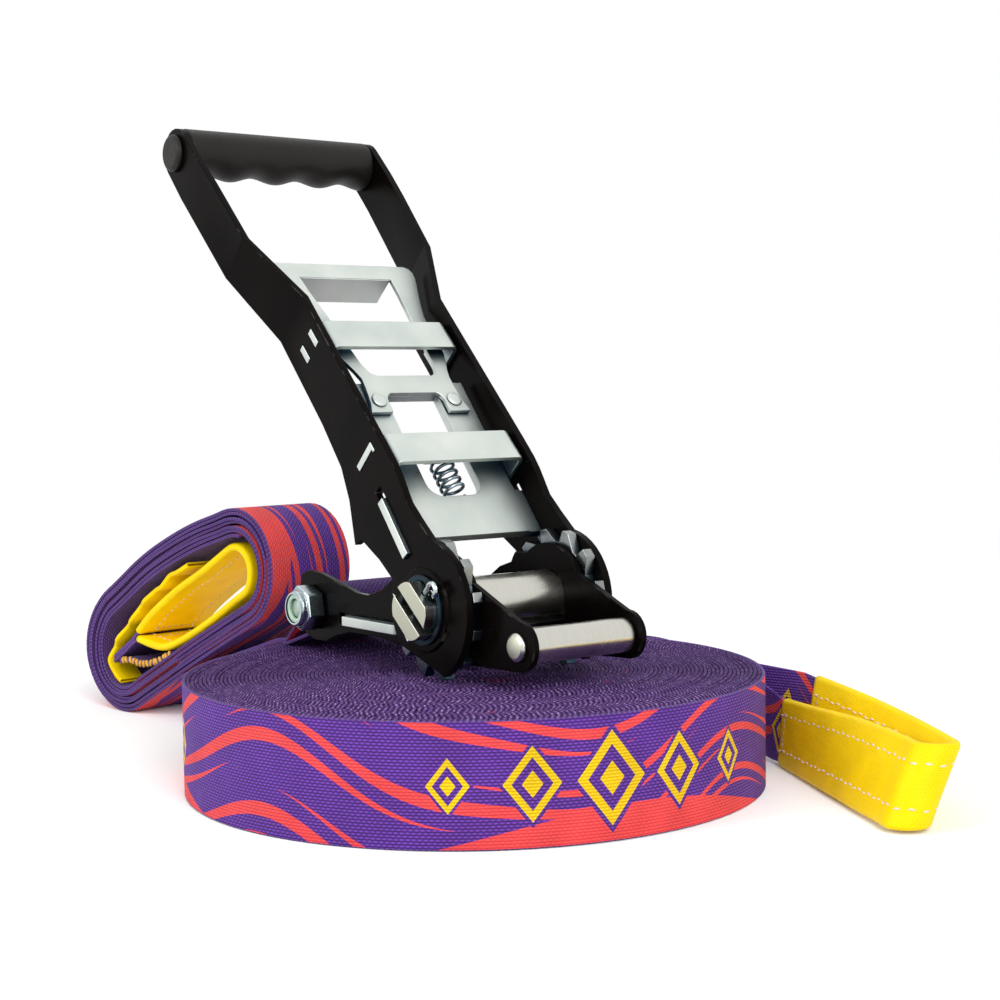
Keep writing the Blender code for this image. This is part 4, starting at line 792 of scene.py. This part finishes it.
# Dipped black enamel, baked on steel: nearly black, with a soft gloss and a faint peel about 2 mm across. On the
# eased edges it is rubbed thin in places, so that the grey of the steel shows there.
enamel, add, place = new_material("baked black enamel")
clouds = add("TexNoise", place, Scale=45.0, Detail=5.0)
edge_wear = add("Attribute", attribute_name="worn").outputs["Fac"]
rubs = add("TexNoise", place, Scale=120.0, Detail=4.0)
rubs = add("MapRange", rubs, 0.56, 0.70, 0.0, 0.25)
coat = add("MixRGB", clouds, "#030202", "#0f0b09")
worn_coat = add("MixRGB", add("Math MULTIPLY", edge_wear, rubs), coat, "#77746e")
gloss = add("MapRange", clouds, 0.3, 0.7, 0.20, 0.34)
peel = add("TexNoise", place, Scale=500.0)
peel = add("Bump", Strength=0.3, Distance=0.00006, Height=peel)
shader = add("BsdfPrincipled", Base_Color=worn_coat, Roughness=gloss, Specular_IOR_Level=0.04, Normal=peel)
add("OutputMaterial", shader)

dressed("frame_plate_left frame_plate_right", "enamelled", enamel, PLATE_EASE)


# The frame's bridge. A pressed plate between the two frame plates behind the roller, which holds them apart and
# keeps the webbing off the mandrel's underside. It has the frame's enamel.
dressed("frame_bridge", "enamelled", enamel, PLATE_EASE)


# The front roller on its pin. A turned steel tube that the webbing runs over, loose on a pin whose two ends are
# domed over the frame's ears. Both are left bright, with the fine rings of the lathe on them.
TURNED_EASE = 0.0003
# Bright turned steel: a warm pale mirror, smudged by hands, and duller on its sawn ends. Its rings, about 0.05 mm
# apart, are too fine to show, so they are drawn at about 0.5 mm, faint, round the X axis.
steel, add, place = new_material("bright turned steel")
rings = add("Mapping", place, Scale=(2000.0, 60.0, 60.0))
rings = add("TexNoise", rings, Scale=1.0, Detail=3.0)
smudge = add("TexNoise", place, Scale=60.0, Detail=4.0)
facing = add("SeparateXYZ", add("TexCoord").outputs["Normal"])
sawn = add("Math GREATER_THAN", add("Math ABSOLUTE", facing), 0.93)
bright = add("MixRGB", rings, "#c8c6bd", "#d8d6cd")
bright = add("MixRGB", sawn, bright, "#c9cab8")
gloss = add("MapRange", smudge, 0.3, 0.7, 0.19, 0.30)
gloss = add("Math MULTIPLY_ADD", sawn, 0.28, gloss)
marks = add("Bump", Strength=0.35, Distance=0.00005, Height=rings)
shader = add("BsdfPrincipled", Base_Color=bright, Metallic=1.0, Roughness=gloss, Normal=marks)
add("OutputMaterial", shader)

dressed("front_roller", "turned", steel, TURNED_EASE)
dressed("roller_pin", "domed", steel, TURNED_EASE)


# The anchor bolt with its nut, and the spacer that the strap's eye turns on. Zinc plated steel fasteners: the
# hexagons are cold forged and barrel plated, brighter than the pressings.
BOLT_EASE = 0.0004
# How far the painted shade in the zinc reaches from the surfaces that close in round it.
PAINTED_SHADE_REACH = 0.017


def zinc_plate(name, dull, low, high):
    """Electroplated zinc with a clear blue passivate: a cool, milky metal, soft where it is dull, in clouds about
    26 mm across. Where other surfaces close in round it, it is painted in shade, darkening towards a deep steel
    blue."""
    made, add, place = new_material(name)
    clouds = add("TexNoise", place, Scale=38.0, Detail=5.0)
    grain = add("TexNoise", place, Scale=700.0)
    clear = add("MapRange", clouds, 0.3, 0.7)
    plated = add("MixRGB", clear, low, high)
    # Painted shade: ambient occlusion darkens the plating towards deep steel blue where other surfaces are near.
    painted_shade = add("AmbientOcclusion", samples=6, Distance=PAINTED_SHADE_REACH).outputs["AO"]
    painted_shade = add("MapRange", painted_shade, 0.36, 0.88)
    plated = add("MixRGB", painted_shade, "#1a4459", plated)
    rough = add("MapRange", clouds, 0.3, 0.7, dull, dull + 0.08)
    rough = add("Math MULTIPLY_ADD", grain, 0.10, rough)
    speck = add("Bump", Strength=0.3, Distance=0.00003, Height=grain)
    shader = add("BsdfPrincipled", Base_Color=plated, Metallic=1.0, Roughness=rough, Normal=speck)
    add("OutputMaterial", shader)
    return made


barrel_zinc = zinc_plate("barrel plated bright zinc", 0.14, "#a8b7bd", "#d3dcdc")
dressed("anchor_bolt anchor_nut anchor_spacer", "plated", barrel_zinc, BOLT_EASE, limit=False)

# The lock nut's ring. Moulded nylon, which lets a little light in, so that it looks pale green and soft. The bolt's
# end shows inside it, set back, with a dull and milky plating.
NYLON_EASE = 0.0004
INSERT_BORE = 0.0047
RING_CLEARANCE = 0.0002
TIP_CLEARANCE, TIP_SET_BACK = 0.0003, 0.0011
TIP_END_CLEARANCE, TIP_BEVEL_LENGTH = 0.0009, 0.0005
nylon, add, place = new_material("moulded nylon ring")
pale = add("TexNoise", place, Scale=400.0)
pale = add("MixRGB", pale, "#a3c6ae", "#c6e0cc")
shader = add("BsdfPrincipled", Base_Color=pale, Roughness=0.35, Subsurface_Weight=0.25, Subsurface_Scale=0.002)
add("OutputMaterial", shader)
milky_zinc = zinc_plate("plated bolt end", 0.45, "#b4c7ba", "#cfdcd0")


def spun(name, profile, axis, steps, ease=0.0):
    """A turned piece round an axis along X. The profile's points are (along X, radius)."""
    shell = bmesh.new()
    verts = [shell.verts.new((x, axis.y + radius, axis.z)) for x, radius in profile]
    edges = [shell.edges.new(pair) for pair in zip(verts, verts[1:] + (verts[:1] if profile[0][1] > 0 else []))]
    bmesh.ops.spin(shell, geom=verts + edges, cent=(0, axis.y, axis.z), axis=(1, 0, 0), angle=math.tau,
                   steps=steps, use_merge=True)
    bmesh.ops.remove_doubles(shell, verts=shell.verts[:], dist=1e-6)
    bmesh.ops.recalc_face_normals(shell, faces=shell.faces[:])
    return rounded(shell, name, ease) if ease else finished(name, shell, 40)


low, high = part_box("anchor_nut_insert")
axis = (low + high) / 2
ring_radius = (high.z - low.z) / 2 - RING_CLEARANCE
ring = [(low.x, INSERT_BORE), (low.x, ring_radius), (high.x, ring_radius), (high.x, INSERT_BORE)]
fitted(spun("anchor_nut_ring", ring, axis, 48, NYLON_EASE), "anchor_nut_insert", nylon)
tip_end, tip_radius = low.x + TIP_SET_BACK, INSERT_BORE - TIP_CLEARANCE
tip = [(high.x, 0), (high.x, tip_radius), (tip_end + TIP_BEVEL_LENGTH, tip_radius),
       (tip_end, INSERT_BORE - TIP_END_CLEARANCE), (tip_end, 0)]
fitted(spun("anchor_bolt_tip", tip, axis, 40), "anchor_nut_insert", milky_zinc)


# The mandrel. Two half-round bars of steel with the slot for the webbing between them, turned on their outsides and
# sawn off at their ends, with a toothed wheel keyed on at each side, a washer, and a split pin through both bars.
STUB_CORNER = 0.0022
PIN_EASE, WASHER_EASE, TOOTH_EASE = 0.0002, 0.0002, 0.0003
collar_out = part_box("mandrel_washer_right")[0].x
for node in ("mandrel_half_upper", "mandrel_half_lower"):
    shell = joined(node)
    corners = [edge for edge in shell.edges if len(edge.link_faces) == 2
               and edge.calc_face_angle(0) > math.radians(35)
               and min(abs(vert.co.x) for vert in edge.verts) > collar_out
               and abs((edge.verts[1].co - edge.verts[0].co).normalized().x) > 0.95]
    bmesh.ops.bevel(shell, geom=corners, offset=STUB_CORNER, offset_type="OFFSET", affect="EDGES", segments=4,
                    profile=0.5, material=-1, clamp_overlap=True)
    fitted(rounded(shell, node + "_turned", TURNED_EASE, limit=False), node, steel)

# The wheels are hardened steel, zinc plated and then worn bright, darker than the pressings. The washers are blued
# and oiled: nearly black, with a dull gloss.
wheel_steel = zinc_plate("hardened wheel steel", 0.19, "#7c8182", "#b6b9b6")
blued = zinc_plate("oiled blued steel", 0.40, "#1c1e20", "#34373a")
for word in ("left", "right"):
    dressed("ratchet_wheel_" + word, "hardened", wheel_steel, TOOTH_EASE)
    dressed("split_pin_" + word, "plated", barrel_zinc, PIN_EASE)
    dressed("mandrel_washer_" + word, "blued", blued, WASHER_EASE)


# The handle. Two plates like the frame's, joggled outwards towards the grip, with slots for the pawl's wings and
# for the cross strips' tabs, and a collar pressed up round the mandrel. They have the frame's enamel.
dressed("handle_plate_left handle_plate_right", "enamelled", enamel, PLATE_EASE)


# The cross strips. Two strips of sheet steel bent back at both ends, whose tabs go through the handle plates and are
# peened over. Zinc plated like the pawl: cool, pale and nearly matt.
PRESSED_EASE = 0.0004
pressed_zinc = zinc_plate("pressed and plated zinc", 0.36, "#cdd6d1", "#e2e7e1")
dressed("cross_strip_lower cross_strip_upper", "plated", pressed_zinc, PRESSED_EASE, limit=False)


# The grip. A tube of black moulded rubber-like plastic over a steel rod, with four finger hollows underneath, and
# a round plastic cap pressed on each end of the rod outside the handle plates.
GRIP_SEGMENTS, GRIP_STATIONS = 56, 72
GRIP_FINGERS, GRIP_HOLLOW = 4, 0.0026
GRIP_EASE, CAP_EASE = 0.0010, 0.0006
# Moulded plastic: black with a brown cast, and an even grain of about 1 mm that keeps it from shining.
rubber, add, place = new_material("moulded black plastic")
grain = add("TexNoise", place, Scale=900.0, Detail=3.0)
tone = add("TexNoise", place, Scale=50.0, Detail=3.0)
tone = add("MixRGB", tone, "#0d0b0a", "#1b1612")
dull = add("MapRange", grain, 0.3, 0.7, 0.40, 0.54)
matt = add("Bump", Strength=0.4, Distance=0.00008, Height=grain)
shader = add("BsdfPrincipled", Base_Color=tone, Roughness=dull, Specular_IOR_Level=0.28, Normal=matt)
add("OutputMaterial", shader)

low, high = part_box("handle_grip")
rod_low, rod_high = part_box("grip_rod")
axis = (rod_low + rod_high) / 2
grip_radius, grip_length = high.z - axis.z, high.x - low.x
shell = bmesh.new()
bmesh.ops.create_cone(shell, cap_ends=True, segments=GRIP_SEGMENTS, radius1=grip_radius, radius2=grip_radius,
                      depth=grip_length)
bmesh.ops.transform(shell, matrix=Matrix.Translation(axis) @ Matrix.Rotation(math.radians(90), 4, "Y"),
                    verts=shell.verts[:])
lengthwise = [edge for edge in shell.edges if abs(edge.verts[0].co.x - edge.verts[1].co.x) > grip_length / 2]
bmesh.ops.subdivide_edges(shell, edges=lengthwise, cuts=GRIP_STATIONS, use_grid_fill=True)
for vert in shell.verts:
    share = (vert.co.x - low.x) / grip_length
    outwards = Vector((0, vert.co.y - axis.y, vert.co.z - axis.z)).normalized()
    facing_down = max(0.0, outwards.dot(Vector((0, 0, -1)))) ** 1.5
    if 0 < share < 1:
        vert.co -= outwards * (GRIP_HOLLOW * (1 - math.cos(math.pi * GRIP_FINGERS * share) ** 2) * facing_down)
fitted(rounded(shell, "handle_grip_moulded", GRIP_EASE, sharp_from=50), "handle_grip", rubber)
dressed("grip_rod", "drawn", steel, TURNED_EASE)
dressed("grip_cap_left grip_cap_right", "moulded", rubber, CAP_EASE)


# The drive pawl and its pull plate. The pawl is a flat bar of steel whose wings run in the handle's slots and whose
# nose drops into the wheels. The pull plate is riveted to it and has a lip for two fingers.
RIVET_EASE = 0.0003
dressed("pawl_plate pull_plate", "plated", pressed_zinc, PRESSED_EASE, limit=False)
dressed("pull_rivet_left pull_rivet_right", "headed", pressed_zinc, RIVET_EASE)


# The drive pawl's spring. Round spring wire coiled cold and zinc plated, held between the pawl's window and the
# tongue of the lower strip. The wire is drawn smooth, so its plating is bright, with a blue cast.
SLIDER_LEAN = 50.5
PIVOT = Vector((0, -0.0184, 0.0809))
SPRING_RADIUS, SPRING_WIRE = 0.0050, 0.0008
COIL_STEPS, WIRE_SEGMENTS = 28, 10
DRIVE_COILS, DRIVE_TRAVEL = 5, 0.006
spring_wire = zinc_plate("plated spring wire", 0.16, "#a9bcc6", "#d3dee2")


def spring(node, place, coils):
    """A coil spring along the place's own Y axis, as long as the CAD spring and level with it."""
    inside = place.inverted()
    points = [inside @ vert.co for vert in frame["nodes"][node].data.vertices]
    lows = Vector(min(point[k] for point in points) for k in range(3))
    highs = Vector(max(point[k] for point in points) for k in range(3))
    length = highs.y - lows.y - 2 * SPRING_WIRE
    middle = (lows + highs) / 2
    place = place @ Matrix.Translation((middle.x, lows.y + SPRING_WIRE, middle.z))
    shell = bmesh.new()
    bmesh.ops.create_circle(shell, segments=WIRE_SEGMENTS, radius=SPRING_WIRE,
                            matrix=Matrix.Translation((SPRING_RADIUS, 0, 0)))
    bmesh.ops.spin(shell, geom=shell.verts[:] + shell.edges[:], cent=(0, 0, 0), axis=(0, 1, 0),
                   dvec=(0, length / (coils * COIL_STEPS), 0), angle=math.tau * coils,
                   steps=coils * COIL_STEPS, use_merge=False)
    bmesh.ops.holes_fill(shell, edges=[edge for edge in shell.edges if edge.is_boundary], sides=0)
    bmesh.ops.recalc_face_normals(shell, faces=shell.faces[:])
    bmesh.ops.transform(shell, matrix=place, verts=shell.verts[:])
    piece = fitted(finished(node + "_coiled", shell, 50), node, spring_wire)
    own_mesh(piece)


slider_place = Matrix.Translation(PIVOT) @ Matrix.Rotation(math.radians(SLIDER_LEAN), 4, "X")
spring("drive_pawl_spring", slider_place, DRIVE_COILS)


# The lock pawl between the frame plates, its spring, and the bar that the spring pushes on. The pawl is a flat bar
# like the drive pawl, and its spring sits in a slit in it.
LOCK_COILS, LOCK_TRAVEL = 6, 0.007
dressed("lock_pawl", "plated", pressed_zinc, PRESSED_EASE, limit=False)
dressed("frame_spring_bar", "plated", pressed_zinc, PRESSED_EASE)
spring("lock_pawl_spring", Matrix.Translation(PIVOT), LOCK_COILS)
